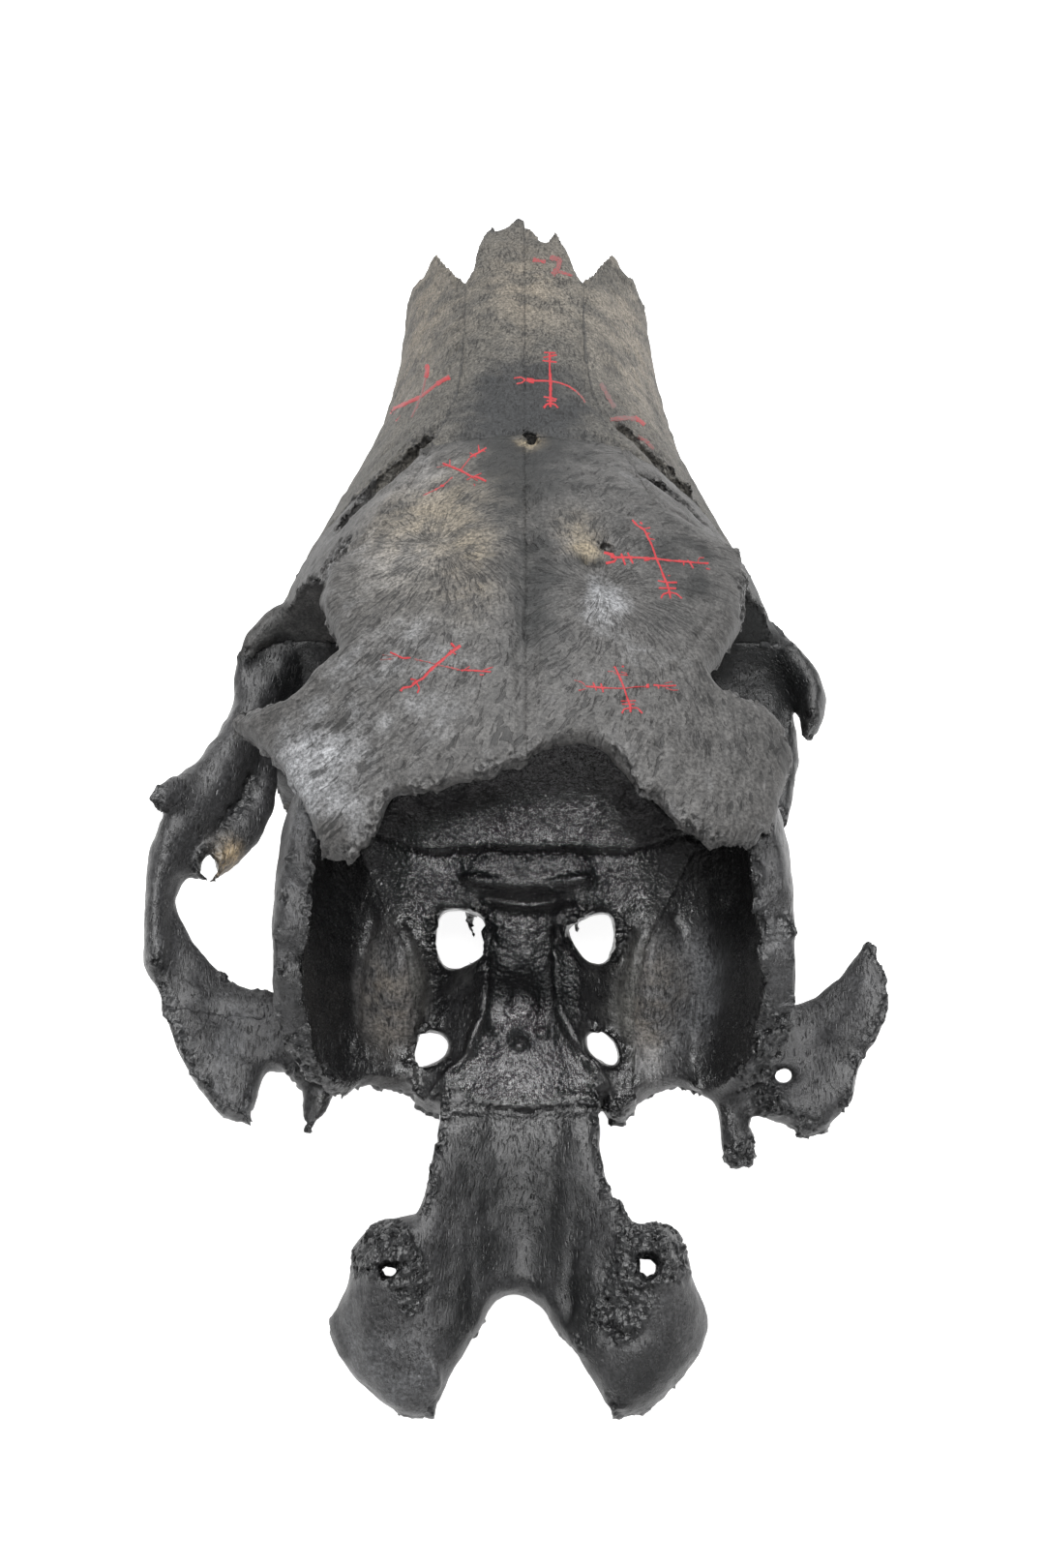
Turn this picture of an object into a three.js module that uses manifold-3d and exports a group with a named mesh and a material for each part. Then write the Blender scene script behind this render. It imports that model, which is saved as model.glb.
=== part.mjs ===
// Skull of a female wapiti without its premaxillae, vault and ear region, at life size in millimetres.
// +X is the animal's right, +Y the snout, +Z up. The cheek teeth stand on z = 0.
// Measures below are taken from the front lip of the foramen magnum, and SKULL_SHIFT moves the
// finished model so that its box stands centred on the origin.
import * as THREE from 'three';
import Module from 'manifold-3d';
import { LoftGeometry } from 'three/addons/geometries/LoftGeometry.js';
import { mergeVertices } from 'three/addons/utils/BufferGeometryUtils.js';

const wasm = await Module();
wasm.setup();

// Driving dimensions
const SKULL_SHIFT = new THREE.Vector3(2.45, -149.25, 0);
const SUTURE_GAP = 0.3;
const ROOF_CURVE = 1.8;
const ROOF_FALL_FRONTAL = 0.01235;
const ROOF_FALL_NASAL = 0.02;
const NASION_Y = 198;
const PALATE_Z = 24;
const TOOTH_MARGIN_Z = 13;
const CHEEK_TOOTH_WIDTH = 17;
const CAVITY_REAR_Y = 178;
const FACE_REAR_Y = 133;
const FACE_FRONT_Y = 316;
const VIEWPOINT = new THREE.Vector3(-2, -168, 488);

// Height of the midline roof from the vault to the nasal tips
const midlineHeight = profile([
  [-20, 120], [60, 132], [85, 135.5], [110, 136.5], [130, 134.5], [150, 130.5], [170, 124.5],
  [195, 113.5], [230, 102.5], [260, 94], [295, 83.5], [320, 76.5], [340, 71],
]);
const roofFall = profile([[180, ROOF_FALL_FRONTAL], [212, ROOF_FALL_NASAL]]);
const roofThickness = profile([[70, 5], [95, 7], [115, 10], [155, 9], [185, 6.5], [205, 4.4], [317, 3.4]]);

// Half breadths and heights of the snout, each against y
const nasalHalfBreadth = profile([[133, 40], [165, 33], [183, 27], [199, 22.3], [210, 19.5], [222, 17],
    [264, 15.6], [317, 16]]);
const faceHalfBreadth = profile([
  [133, 64], [150, 64.5], [165, 62], [178, 61.5], [188, 59], [208, 52.8], [225, 46.4], [241, 41.6],
  [253, 38.9], [268, 37],
  [287, 35.3], [316, 34.6],
]);
const faceLeftScale = profile([[170, 1], [195, 1.015], [225, 1.015], [250, 0.975], [316, 0.955]]);
const faceWidestHeight = profile([[133, 74], [165, 72], [180, 66], [200, 62], [316, 60]]);
const alveolarHalfBreadth = profile([[130, 46], [160, 49], [190, 46], [220, 41], [250, 35], [264, 27],
    [280, 23], [316, 24]]);
const alveolarHeight = profile([[130, TOOTH_MARGIN_Z], [250, TOOTH_MARGIN_Z], [266, 21], [316, 27]]);

function clamp(value, low, high) {
  return Math.min(Math.max(value, low), high);
}

function smoothstep(low, high, value) {
  const t = clamp((value - low) / (high - low), 0, 1);
  return t * t * (3 - 2 * t);
}

// A round hump of height 1 at the centre that falls to nothing over its two radii.
function hump(x, y, centreX, centreY, radiusX, radiusY) {
  return Math.exp(-(((x - centreX) / radiusX) ** 2) - ((y - centreY) / radiusY) ** 2);
}

// A smooth curve through stations [position, value] that never overshoots them.
function profile(stations) {
  const secants = [];
  for (let i = 0; i + 1 < stations.length; i += 1) {
    secants.push((stations[i + 1][1] - stations[i][1]) / (stations[i + 1][0] - stations[i][0]));
  }
  const slopes = stations.map((station, i) => {
    const before = secants[Math.max(i - 1, 0)];
    const after = secants[Math.min(i, secants.length - 1)];
    return before * after > 0 ? (2 * before * after) / (before + after) : 0;
  });
  return (position) => {
    const at = clamp(position, stations[0][0], stations.at(-1)[0]);
    let i = 0;
    while (i + 2 < stations.length && at > stations[i + 1][0]) {
      i += 1;
    }
    const span = stations[i + 1][0] - stations[i][0];
    const t = (at - stations[i][0]) / span;
    const start = (1 + 2 * t) * (1 - t) ** 2 * stations[i][1] + t * (1 - t) ** 2 * slopes[i] * span;
    const end = t * t * (3 - 2 * t) * stations[i + 1][1] + t * t * (t - 1) * slopes[i + 1] * span;
    return start + end;
  };
}

function roofHeight(x, y) {
  return midlineHeight(y) - roofFall(y) * Math.abs(x) ** ROOF_CURVE;
}

function roofUnderside(x, y) {
  return roofHeight(x, y) - roofThickness(y);
}

// Turns a closed geometry into a solid, with its faces outward.
function solid(geometry) {
  const bare = new THREE.BufferGeometry();
  bare.setAttribute('position', geometry.getAttribute('position'));
  bare.setIndex(geometry.index);
  const merged = mergeVertices(bare, 1e-4);
  const vertices = merged.getAttribute('position').array;
  const triangles = Uint32Array.from(merged.index.array);
  return new wasm.Manifold(new wasm.Mesh({ numProp: 3, vertProperties: vertices, triVerts: triangles }));
}

function loft(rings) {
  return solid(new LoftGeometry(rings, { capStart: true, capEnd: true }));
}

// Smooth curve through the points [x, z] of half a section, from the top midline to the bottom one.
function halfSection(points, steps) {
  const curve = new THREE.SplineCurve(points.map((point) => new THREE.Vector2(point[0], point[1])));
  return curve.getPoints((points.length - 1) * steps);
}

// A whole section at y: the half section on the right side, and its mirror image scaled on the left.
function ring(points, y, steps, leftScale = 1) {
  const half = halfSection(points, steps);
  const right = half.map((point) => new THREE.Vector3(point.x, y, point.y));
  const left = half.slice(1, -1).reverse().map((point) =>
      new THREE.Vector3(-point.x * leftScale, y, point.y));
  return [...right, ...left];
}

function stations(from, to, step) {
  const count = Math.max(2, Math.round((to - from) / step));
  return Array.from({ length: count + 1 }, (_, i) => from + ((to - from) * i) / count);
}

// A limb of elliptical sections along a smooth path. Each station is [x, y, z, half breadth, half height].
function limb(path, { steps = 4, sides = 12, up = [0, 0, 1] } = {}) {
  const curve = new THREE.CatmullRomCurve3(path.map((station) => new THREE.Vector3(...station)), false,
      'catmullrom', 0.5);
  const count = (path.length - 1) * steps;
  const upward = new THREE.Vector3(...up);
  const rings = [];
  for (let i = -1; i <= count + 1; i += 1) {
    const t = clamp(i / count, 0, 1);
    const rounding = i < 0 || i > count ? 0.35 : 1;
    const at = Math.min(Math.floor(t * (path.length - 1)), path.length - 2);
    const blend = smoothstep(0, 1, t * (path.length - 1) - at);
    const halfBreadth = THREE.MathUtils.lerp(path[at][3], path[at + 1][3], blend) * rounding;
    const halfHeight = THREE.MathUtils.lerp(path[at][4], path[at + 1][4], blend) * rounding;
    const tangent = curve.getTangent(t);
    const side = new THREE.Vector3().crossVectors(upward, tangent).normalize();
    const normal = new THREE.Vector3().crossVectors(tangent, side);
    const reach = (i < 0 ? -1 : i > count ? 1 : 0) * Math.min(path[at][3], path[at][4]) * 0.6;
    const centre = curve.getPoint(t).addScaledVector(tangent, reach);
    rings.push(Array.from({ length: sides }, (_, k) => {
      const angle = (k / sides) * 2 * Math.PI;
      return centre.clone()
        .addScaledVector(side, Math.cos(angle) * halfBreadth)
        .addScaledVector(normal, Math.sin(angle) * halfHeight);
    }));
  }
  return loft(rings);
}

function blob(centre, radii, { turn = [0, 0, 0], segments = 16 } = {}) {
  const geometry = new THREE.SphereGeometry(1, segments, Math.round(segments * 0.7));
  geometry.scale(...radii);
  geometry.applyMatrix4(new THREE.Matrix4().makeRotationFromEuler(new THREE.Euler(...turn.map(THREE.MathUtils.degToRad))));
  geometry.translate(...centre);
  return solid(geometry);
}

// Moves an outline outward by a distance, corner by corner.
function grow(outline, distance) {
  const points = outline.map((point) => new THREE.Vector2(point[0], point[1]));
  const turn = Math.sign(THREE.ShapeUtils.area(points));
  return points.map((point, i) => {
    const before = points[(i + points.length - 1) % points.length];
    const after = points[(i + 1) % points.length];
    const into = point.clone().sub(before).normalize();
    const out = after.clone().sub(point).normalize();
    const normal = new THREE.Vector2((into.y + out.y) * turn, -(into.x + out.x) * turn).normalize();
    const reach = distance / Math.max(0.5, Math.abs(normal.x * into.y * turn - normal.y * into.x * turn));
    return [point.x + normal.x * reach, point.y + normal.y * reach];
  });
}

// A prism over an outline in plan, between two heights.
function planPrism(outline, low, high) {
  const shape = new THREE.Shape(outline.map((point) => new THREE.Vector2(point[0], point[1])));
  const geometry = new THREE.ExtrudeGeometry(shape, { depth: high - low, bevelEnabled: false });
  geometry.translate(0, 0, low);
  return solid(geometry);
}

// A prism over an outline in side view, [y, z], between two values of x.
function sidePrism(outline, low, high) {
  const shape = new THREE.Shape(outline.map((point) => new THREE.Vector2(point[0], point[1])));
  const geometry = new THREE.ExtrudeGeometry(shape, { depth: high - low, bevelEnabled: false });
  geometry.translate(0, 0, low);
  geometry.applyMatrix4(new THREE.Matrix4().makeBasis(
    new THREE.Vector3(0, 1, 0),
    new THREE.Vector3(0, 0, 1),
    new THREE.Vector3(1, 0, 0),
  ));
  return solid(geometry);
}

function distanceToOutline(outline, x, y) {
  const point = new THREE.Vector3(x, y, 0);
  const nearest = new THREE.Vector3();
  let inside = false;
  let distance = Infinity;
  outline.forEach((start, i) => {
    const end = outline[(i + 1) % outline.length];
    const edge = new THREE.Line3(new THREE.Vector3(start[0], start[1], 0),
        new THREE.Vector3(end[0], end[1], 0));
    edge.closestPointToPoint(point, true, nearest);
    distance = Math.min(distance, nearest.distanceTo(point));
    if ((start[1] > y) !== (end[1] > y) && x < start[0] + ((y - start[1]) / (end[1] - start[1])) *
        (end[0] - start[0])) {
      inside = !inside;
    }
  });
  return inside ? distance : 0;
}

// A slab between two surfaces over a rectangle of plan.
function slab(low, high, top, bottom, cell) {
  const breadth = high[0] - low[0];
  const length = high[1] - low[1];
  const columns = Math.max(2, Math.round(breadth / cell));
  const rows = Math.max(2, Math.round(length / cell));
  const geometry = new THREE.BoxGeometry(breadth, length, 2, columns, rows, 1);
  geometry.translate((low[0] + high[0]) / 2, (low[1] + high[1]) / 2, 0);
  const position = geometry.getAttribute('position');
  for (let i = 0; i < position.count; i += 1) {
    const surface = position.getZ(i) > 0 ? top : bottom;
    position.setZ(i, surface(position.getX(i), position.getY(i)));
  }
  return solid(geometry);
}

// A plate with an outline in plan, thinned towards its edge over the rounding distance.
function plate(outline, top, bottom, { cell = 5, rounding = 0, edge = 0.35 } = {}) {
  const xs = outline.map((point) => point[0]);
  const ys = outline.map((point) => point[1]);
  const margin = 1.5;
  const low = [Math.min(...xs) - margin, Math.min(...ys) - margin];
  const high = [Math.max(...xs) + margin, Math.max(...ys) + margin];
  const thinned = (x, y) => {
    if (rounding === 0) {
      return 0;
    }
    const inset = clamp(distanceToOutline(outline, x, y) / rounding, 0, 1);
    return (1 - Math.sqrt(1 - (1 - inset) ** 2)) * (0.5 - edge / 2) * (top(x, y) - bottom(x, y));
  };
  const body = slab(low, high, (x, y) => top(x, y) - thinned(x, y),
      (x, y) => bottom(x, y) + thinned(x, y), cell);
  return body.intersect(planPrism(outline, -50, 250));
}

// An elliptical hole through bone at a point, drilled in line with the viewpoint, so that it can be seen
// through.
function sightHole(x, y, z, halfBreadth, halfLength, reach) {
  const geometry = new THREE.CylinderGeometry(1, 1, reach * 2, 12, 1);
  geometry.rotateX(Math.PI / 2);
  geometry.scale(halfBreadth, halfLength, 1);
  const aim = new THREE.Matrix4().lookAt(VIEWPOINT, new THREE.Vector3(x, y, z), new THREE.Vector3(0, 1, 0));
  geometry.applyMatrix4(aim);
  geometry.translate(x, y, z);
  return solid(geometry);
}

// A ragged hole drilled in line with the viewpoint. Its outline is drawn across and up from its middle.
function sightOpening(middle, outline, reach) {
  const shape = new THREE.Shape(outline.map((point) => new THREE.Vector2(...point)));
  const geometry = new THREE.ExtrudeGeometry(shape, { depth: reach * 2, bevelEnabled: false });
  geometry.translate(0, 0, -reach);
  const centre = new THREE.Vector3(...middle);
  geometry.applyMatrix4(new THREE.Matrix4().lookAt(VIEWPOINT, centre, new THREE.Vector3(0, 1, 0)));
  geometry.translate(...middle);
  geometry.setIndex([...Array(geometry.getAttribute('position').count).keys()]);
  return solid(geometry);
}

function mirrorOutline(outline) {
  return outline.map((point) => [-point[0], point[1]]);
}

function union(pieces) {
  return pieces.reduce((whole, piece) => whole.add(piece));
}

// The snout and upper jaw as one closed loft, from the orbit to the broken front.
function faceSection(y) {
  const nasalX = nasalHalfBreadth(y);
  const nasalZ = roofHeight(nasalX, y);
  const wideX = faceHalfBreadth(y);
  const wideZ = faceWidestHeight(y);
  const rimX = alveolarHalfBreadth(y);
  const rimZ = alveolarHeight(y);
  return [
    [0, midlineHeight(y) - 1],
    [nasalX * 0.55, roofHeight(nasalX * 0.55, y) - 0.6],
    [nasalX, nasalZ],
    [nasalX + (wideX - nasalX) * 0.55, nasalZ - (nasalZ - wideZ) * 0.36],
    [wideX, wideZ],
    [(wideX + rimX) / 2 + 1.5, (wideZ + rimZ) / 2],
    [rimX, rimZ],
    [rimX - CHEEK_TOOTH_WIDTH, Math.min(rimZ + 1, PALATE_Z)],
    [(rimX - CHEEK_TOOTH_WIDTH) * 0.7, Math.max(PALATE_Z, rimZ) - 1],
    [0, Math.max(PALATE_Z, rimZ)],
  ];
}

function cavitySection(y) {
  const opening = smoothstep(CAVITY_REAR_Y - 8, CAVITY_REAR_Y + 24, y);
  const nasalX = nasalHalfBreadth(y);
  const wideX = Math.min(faceHalfBreadth(y) - 4, 42);
  const floor = Math.max(PALATE_Z, alveolarHeight(y)) + 5;
  const middle = 70;
  const points = [
    [0, midlineHeight(y) - 2.4],
    [nasalX * 0.9, roofHeight(nasalX, y) - 2.4],
    [nasalX + (wideX - nasalX) * 0.55, roofHeight(nasalX, y) - 5 -
        (roofHeight(nasalX, y) - faceWidestHeight(y)) * 0.36],
    [wideX, faceWidestHeight(y) - 2],
    [Math.min(alveolarHalfBreadth(y) - 4, wideX - 3), floor + 8],
    [16, floor],
    [0, floor],
  ];
  return points.map((point) => [point[0] * opening, middle + (point[1] - middle) * opening]);
}

function face() {
  const places = stations(FACE_REAR_Y, FACE_FRONT_Y, 9.6);
  const outer = loft(places.map((y) => ring(faceSection(y), y, 2, faceLeftScale(y))));
  return outer;
}

function nasalCavity() {
  return loft(stations(CAVITY_REAR_Y - 4, FACE_FRONT_Y + 10, 13).map((y) => ring(cavitySection(y), y, 1)));
}

// One crown lobe of a cheek tooth, worn hollow in the middle and set on the grinding plane.
function toothLobe(x, y, halfBreadth, halfLength, yaw) {
  const crownTop = PALATE_Z - 2;
  const geometry = new THREE.CylinderGeometry(1.06, 0.82, crownTop, 8, 1);
  const position = geometry.getAttribute('position');
  for (let i = 0; i < position.count; i += 1) {
    const atCentre = Math.hypot(position.getX(i), position.getZ(i)) < 0.1;
    if (atCentre && position.getY(i) < 0) {
      position.setY(i, position.getY(i) + 1.8);
    }
  }
  geometry.scale(halfBreadth, 1, halfLength);
  geometry.rotateX(Math.PI / 2);
  geometry.rotateZ(yaw);
  geometry.translate(x, y, crownTop / 2);
  return solid(geometry);
}

// Six cheek teeth a side: three premolars of one lobe, and three molars of two, the last with a heel.
const CHEEK_TEETH = [
  { length: 15.5, breadth: 13, lobes: 1 },
  { length: 16.5, breadth: 15, lobes: 1 },
  { length: 16, breadth: 16.5, lobes: 1 },
  { length: 20.5, breadth: 18.5, lobes: 2 },
  { length: 23.5, breadth: 19.5, lobes: 2 },
  { length: 24.5, breadth: 19, lobes: 2 },
];
const TOOTH_ROW_FRONT_Y = 250;
const TOOTH_GAP = 0.5;

function cheekTeeth(side) {
  const crowns = [];
  let front = TOOTH_ROW_FRONT_Y;
  for (const tooth of CHEEK_TEETH) {
    const lobeLength = tooth.length / tooth.lobes;
    for (let lobe = 0; lobe < tooth.lobes; lobe += 1) {
      const y = front - lobeLength * (lobe + 0.5);
      const x = side * (alveolarHalfBreadth(y) - CHEEK_TOOTH_WIDTH / 2 - 0.5);
      crowns.push(toothLobe(x, y, tooth.breadth / 2, lobeLength * 0.5 + 0.4, side * 0.12));
    }
    front -= tooth.length + TOOTH_GAP;
  }
  return union(crowns);
}

// The bone between the orbits, waisted below the roof, that carries the braincase.
const septumTop = profile([[100, 44], [115, 41], [135, 38], [152, 36], [168, 30], [190, 26]]);
const septumWaist = profile([[100, 34], [118, 24], [140, 15], [160, 16], [190, 20]]);
const septumFoot = profile([[100, 16], [120, 13], [150, 12], [190, 16]]);
const septumLow = profile([[100, 50], [118, 40], [135, 30], [190, 26]]);

function septum() {
  return loft(stations(103, 186, 10.4).map((y) => ring([
    [0, midlineHeight(y) - 2],
    [septumTop(y) * 0.6, roofHeight(septumTop(y) * 0.6, y) - 2],
    [septumTop(y), roofHeight(septumTop(y), y) - 3],
    [septumWaist(y) + 5, 100],
    [septumWaist(y), 82],
    [(septumWaist(y) + septumFoot(y)) / 2, 64],
    [septumFoot(y), septumLow(y) + 8],
    [septumFoot(y) * 0.6, septumLow(y)],
    [0, septumLow(y)],
  ], y, 2)));
}

// Braincase: an egg of bone, hollowed from behind and above
const braincaseHalfBreadth = profile([[26, 50], [39, 53], [55, 56], [80, 56.8], [93, 55.8], [105, 50],
    [116, 42], [126, 33]]);
const braincaseUnderside = profile([[26, 57], [45, 54], [80, 56], [110, 60], [126, 62]]);
const LEFT_NARROWER = 0.935;

function braincaseOuter() {
  return loft(stations(28, 124, 8).map((y) => {
    const halfBreadth = braincaseHalfBreadth(y);
    const low = braincaseUnderside(y);
    return ring([
      [0, 131],
      [halfBreadth * 0.55, 128],
      [halfBreadth * 0.9, 116],
      [halfBreadth, 97],
      [halfBreadth * 0.95, 80],
      [halfBreadth * 0.78, 67],
      [halfBreadth * 0.45, low + 1],
      [0, low - 2],
    ], y, 2, LEFT_NARROWER);
  }));
}

const cavityHalfBreadth = profile([[20, 46], [50, 48.5], [80, 49], [98, 44], [110, 35], [118, 24]]);
const cavityFloor = profile([[20, 61], [45, 64], [62, 69], [72, 68], [88, 71], [97, 76], [108, 82],
    [116, 92], [121, 108]]);

function braincaseCavity() {
  return loft(stations(18, 119, 6.7).map((y) => {
    const halfBreadth = cavityHalfBreadth(y);
    const floor = cavityFloor(y);
    const ridge = 4 * hump(0, y, 0, 72, 1, 22);
    const lobe = -4 * hump(0, y, 0, 74, 1, 22);
    const ceiling = y > 72 ? midlineHeight(y) - 3 : 150;
    return ring([
      [0, ceiling],
      [halfBreadth * 0.58, ceiling - 5],
      [halfBreadth * 0.9, 120],
      [halfBreadth, 98],
      [halfBreadth * 0.97, 86],
      [halfBreadth * 0.84, floor + 6 + lobe],
      [halfBreadth * 0.6, floor + lobe],
      [halfBreadth * 0.36, floor + lobe * 0.3],
      [halfBreadth * 0.22, floor + ridge],
      [halfBreadth * 0.1, floor],
      [0, floor],
    ], y, 1, LEFT_NARROWER);
  }));
}

// What is broken away above the side walls: all above a rim that falls towards the rear.
const rimHeight = profile([[20, 70], [38, 73], [46, 88], [58, 102], [72, 110], [86, 115], [100, 120],
    [112, 124]]);

function lostVault() {
  const jag = (x, y) => 1.4 * Math.sin(y * 0.9 + x * 0.35) + 1.1 * Math.sin(y * 0.47 - x * 0.8);
  return slab([-62, 10], [62, 112], () => 210, (x, y) => rimHeight(y) + jag(x, y), 4.5);
}

// Outlines in plan of the roof bones, with their broken edges
const FRONTAL_SIDE_LEFT = [
  [-22.5, 199], [-24, 191], [-28, 174], [-36, 156], [-43, 155], [-45, 142], [-41, 128], [-39, 123],
  [-44, 120],
  [-46, 116], [-51, 112], [-61, 115], [-63.6, 112], [-57, 105], [-50, 94], [-47, 88], [-45, 83], [-41, 73],
];
const FRONTAL_REAR_LEFT = [[-35, 69], [-30, 73], [-27, 83], [-20.6, 81], [-14, 83.5], [-8, 83], [-4, 86]];
const FRONTAL_SIDE_RIGHT = [
  [22.5, 199], [26.5, 184], [30, 170], [44, 165], [49.7, 161], [50, 149], [46.7, 134], [42, 123],
  [38.7, 117],
  [41, 112], [49.5, 113], [56.5, 105], [56.6, 100], [53, 90], [50.6, 80], [45, 76], [38, 72.5],
];
const FRONTAL_REAR_RIGHT = [[31, 76], [28, 80], [22, 82], [20, 87], [16, 92], [12, 94], [7, 92], [3, 90]];
const HALF_GAP = SUTURE_GAP / 2;
const frontalLeftOutline = [[-HALF_GAP, NASION_Y], ...FRONTAL_SIDE_LEFT, ...FRONTAL_REAR_LEFT,
    [-HALF_GAP, 87]];
const frontalRightOutline = [[HALF_GAP, NASION_Y], ...FRONTAL_SIDE_RIGHT, ...FRONTAL_REAR_RIGHT,
    [HALF_GAP, 88]];
const nasalLeftOutline = [
  [-HALF_GAP, NASION_Y + SUTURE_GAP], [-22.3, 199.4], [-19.5, 210], [-17, 222], [-15.6, 240],
  [-15.6, 264], [-16, 282], [-14.4, 290],
  [-13.4, 300], [-12, 309], [-9, 315], [-7, 310], [-4.5, 313], [-2, 317], [-HALF_GAP, 316],
];
const nasalRightOutline = [
  [HALF_GAP, NASION_Y + SUTURE_GAP], [22.3, 199.4], [19.5, 210], [17, 222], [15.6, 240], [15.6, 264],
  [16, 282], [14, 292],
  [12, 301], [8.8, 311], [7, 307], [5.4, 302], [3, 309], [HALF_GAP, 315],
];

function roofBone(outline) {
  return plate(outline, roofHeight, roofUnderside, { cell: 7, rounding: 3, edge: 0.6 });
}

// The space that a roof bone and its sutures take out of the bones below.
function roofSpace(outline) {
  const xs = outline.map((point) => point[0]);
  const ys = outline.map((point) => point[1]);
  const low = [Math.min(...xs) - 2, Math.min(...ys) - 2];
  const high = [Math.max(...xs) + 2, Math.max(...ys) + 2];
  const under = slab(low, high, () => 220, (x, y) => roofUnderside(x, y) - SUTURE_GAP, 6);
  return under.intersect(planPrism(grow(outline, SUTURE_GAP), 0, 230));
}

// Floor of the braincase behind the pituitary, and the condyles, seen in plan
const BASIN_OUTLINE = [
  [-18, 55], [-18.3, 40], [-19, 33], [-21, 25], [-23, 16], [-20, 8], [-14, 0], [-10, -2], [-6, 6.5],
  [-1, 8.2], [3, 5.6],
  [9, -4], [14, -3], [21, 6], [23, 16], [20, 22], [17, 29], [16, 37], [16.5, 55],
];
const CONDYLE_LEFT = [
  [-21, 23], [-27, 20.5], [-31, 21], [-36.7, 16], [-37, 8], [-41.5, 2], [-40.3, -4], [-35, -10.3],
  [-26, -17], [-18.7, -18.2],
  [-16.5, -12], [-10.5, -3], [-12, 7], [-17, 17],
];
const CONDYLE_RIGHT = [
  [20, 22], [25, 19], [29, 20], [34.5, 14], [35, 8], [38.5, 2], [37, -4.5], [32, -11], [25, -16.5],
  [18, -18.5],
  [15.5, -13], [9.5, -5], [12, 7], [17, 17],
];

function basinTop(x, y) {
  const slope = 57.5 + 0.15 * y;
  return slope + 0.022 * x * x - 2.5 * hump(x, y, 0, 18, 9, 11);
}

function condyleTop(x, y) {
  const across = Math.abs(x);
  const broken = 11 * hump(across, y, 28, 11, 11, 11);
  return 61 + broken - 0.012 * (y - 8) ** 2 * smoothstep(6, -22, y) - 0.05 * clamp(across - 27, 0, 20) ** 2;
}

function condyleUnderside(x, y) {
  return 43 + 0.03 * (Math.abs(x) - 26) ** 2 + 4 * smoothstep(0, 24, y);
}

function occipitalBase() {
  const basin = plate(BASIN_OUTLINE, basinTop, (x, y) => 46 + 0.012 * x * x + 0.05 * y,
      { cell: 6, rounding: 5, edge: 0.5 });
  const condyles = [CONDYLE_LEFT, CONDYLE_RIGHT].map((outline) => (
    plate(outline, condyleTop, condyleUnderside, { cell: 5.5, rounding: 6, edge: 0.25 })
  ));
  const holes = [sightHole(-28, 8.6, 62, 2.4, 1.8, 30), sightHole(25.2, 9.4, 62, 2.6, 3, 30)];
  return union([basin, ...condyles]).subtract(union(holes));
}

// Ragged rear edge of the braincase floor in plan
const REAR_EDGE = [
  [-75, 0], [-58, 0], [-58, 38], [-52, 43], [-50, 47.5], [-46, 45], [-41, 44], [-38, 46], [-35, 50],
  [-26, 51], [-22, 47],
  [-18, 46], [-18, 49], [18, 49], [18, 44], [22, 44], [26, 50], [34, 51], [37, 47], [43, 45], [49, 43],
  [58, 41], [58, 0],
  [75, 0], [75, -40], [-75, -40],
];

function temporalPlateTop(x, y) {
  const across = Math.abs(x);
  return 69 + 7 * smoothstep(66, 80, across) + 2.5 * hump(across, y, 70, 60, 8, 8) - 3 *
      hump(across, y, 60, 58, 5, 5);
}

const TEMPORAL_PLATE_LEFT = [
  [-39, 50], [-50, 50], [-54, 54.5], [-57, 54], [-57.5, 49], [-58, 45], [-59.5, 40.5], [-65, 42],
  [-71, 48.5], [-75, 55.5],
  [-78, 62], [-81, 71], [-83.2, 80], [-84, 90], [-78.5, 90], [-74.5, 83], [-69, 77], [-63, 73.5],
  [-54, 71.5], [-39, 73],
];
const TEMPORAL_PLATE_RIGHT = [
  [39, 48], [49, 43], [55, 39.5], [61, 38], [65, 39.5], [67, 42.5], [70, 43], [72.8, 54], [76.5, 58],
  [79.3, 64], [80, 72], [77.5, 79.5],
  [75, 81.5], [72.5, 78.5], [70.5, 75.5], [64, 70.3], [57, 68.5], [39, 69],
];

function zygomaticProcesses() {
  const options = { cell: 6, rounding: 4, edge: 0.45 };
  const under = (x, y) => temporalPlateTop(x, y) - 8.5;
  const left = plate(TEMPORAL_PLATE_LEFT, temporalPlateTop, under, options);
  const right = plate(TEMPORAL_PLATE_RIGHT, temporalPlateTop, under, options);
  return union([left, right.subtract(sightHole(56, 51.5, 66, 2.4, 2, 20))]);
}

// The stalk with its spongy knob that hangs behind the right ear region
function earStalk() {
  const stalk = limb([[43, 52, 66, 3.6, 4], [44, 44, 64, 2.8, 3.2], [45.8, 38.5, 62, 4.6, 4.2],
      [46.4, 34, 61, 4, 3.4]], { steps: 2, sides: 8 });
  return stalk;
}

// The short broken spike at the left rear corner of the braincase floor
function rearSpicule() {
  return limb([[-44, 52, 64, 4.5, 3], [-45.5, 45.5, 62.5, 3.4, 2.4], [-46.5, 41.5, 61.5, 1.6, 1.4]],
      { steps: 2, sides: 8 });
}

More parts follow.
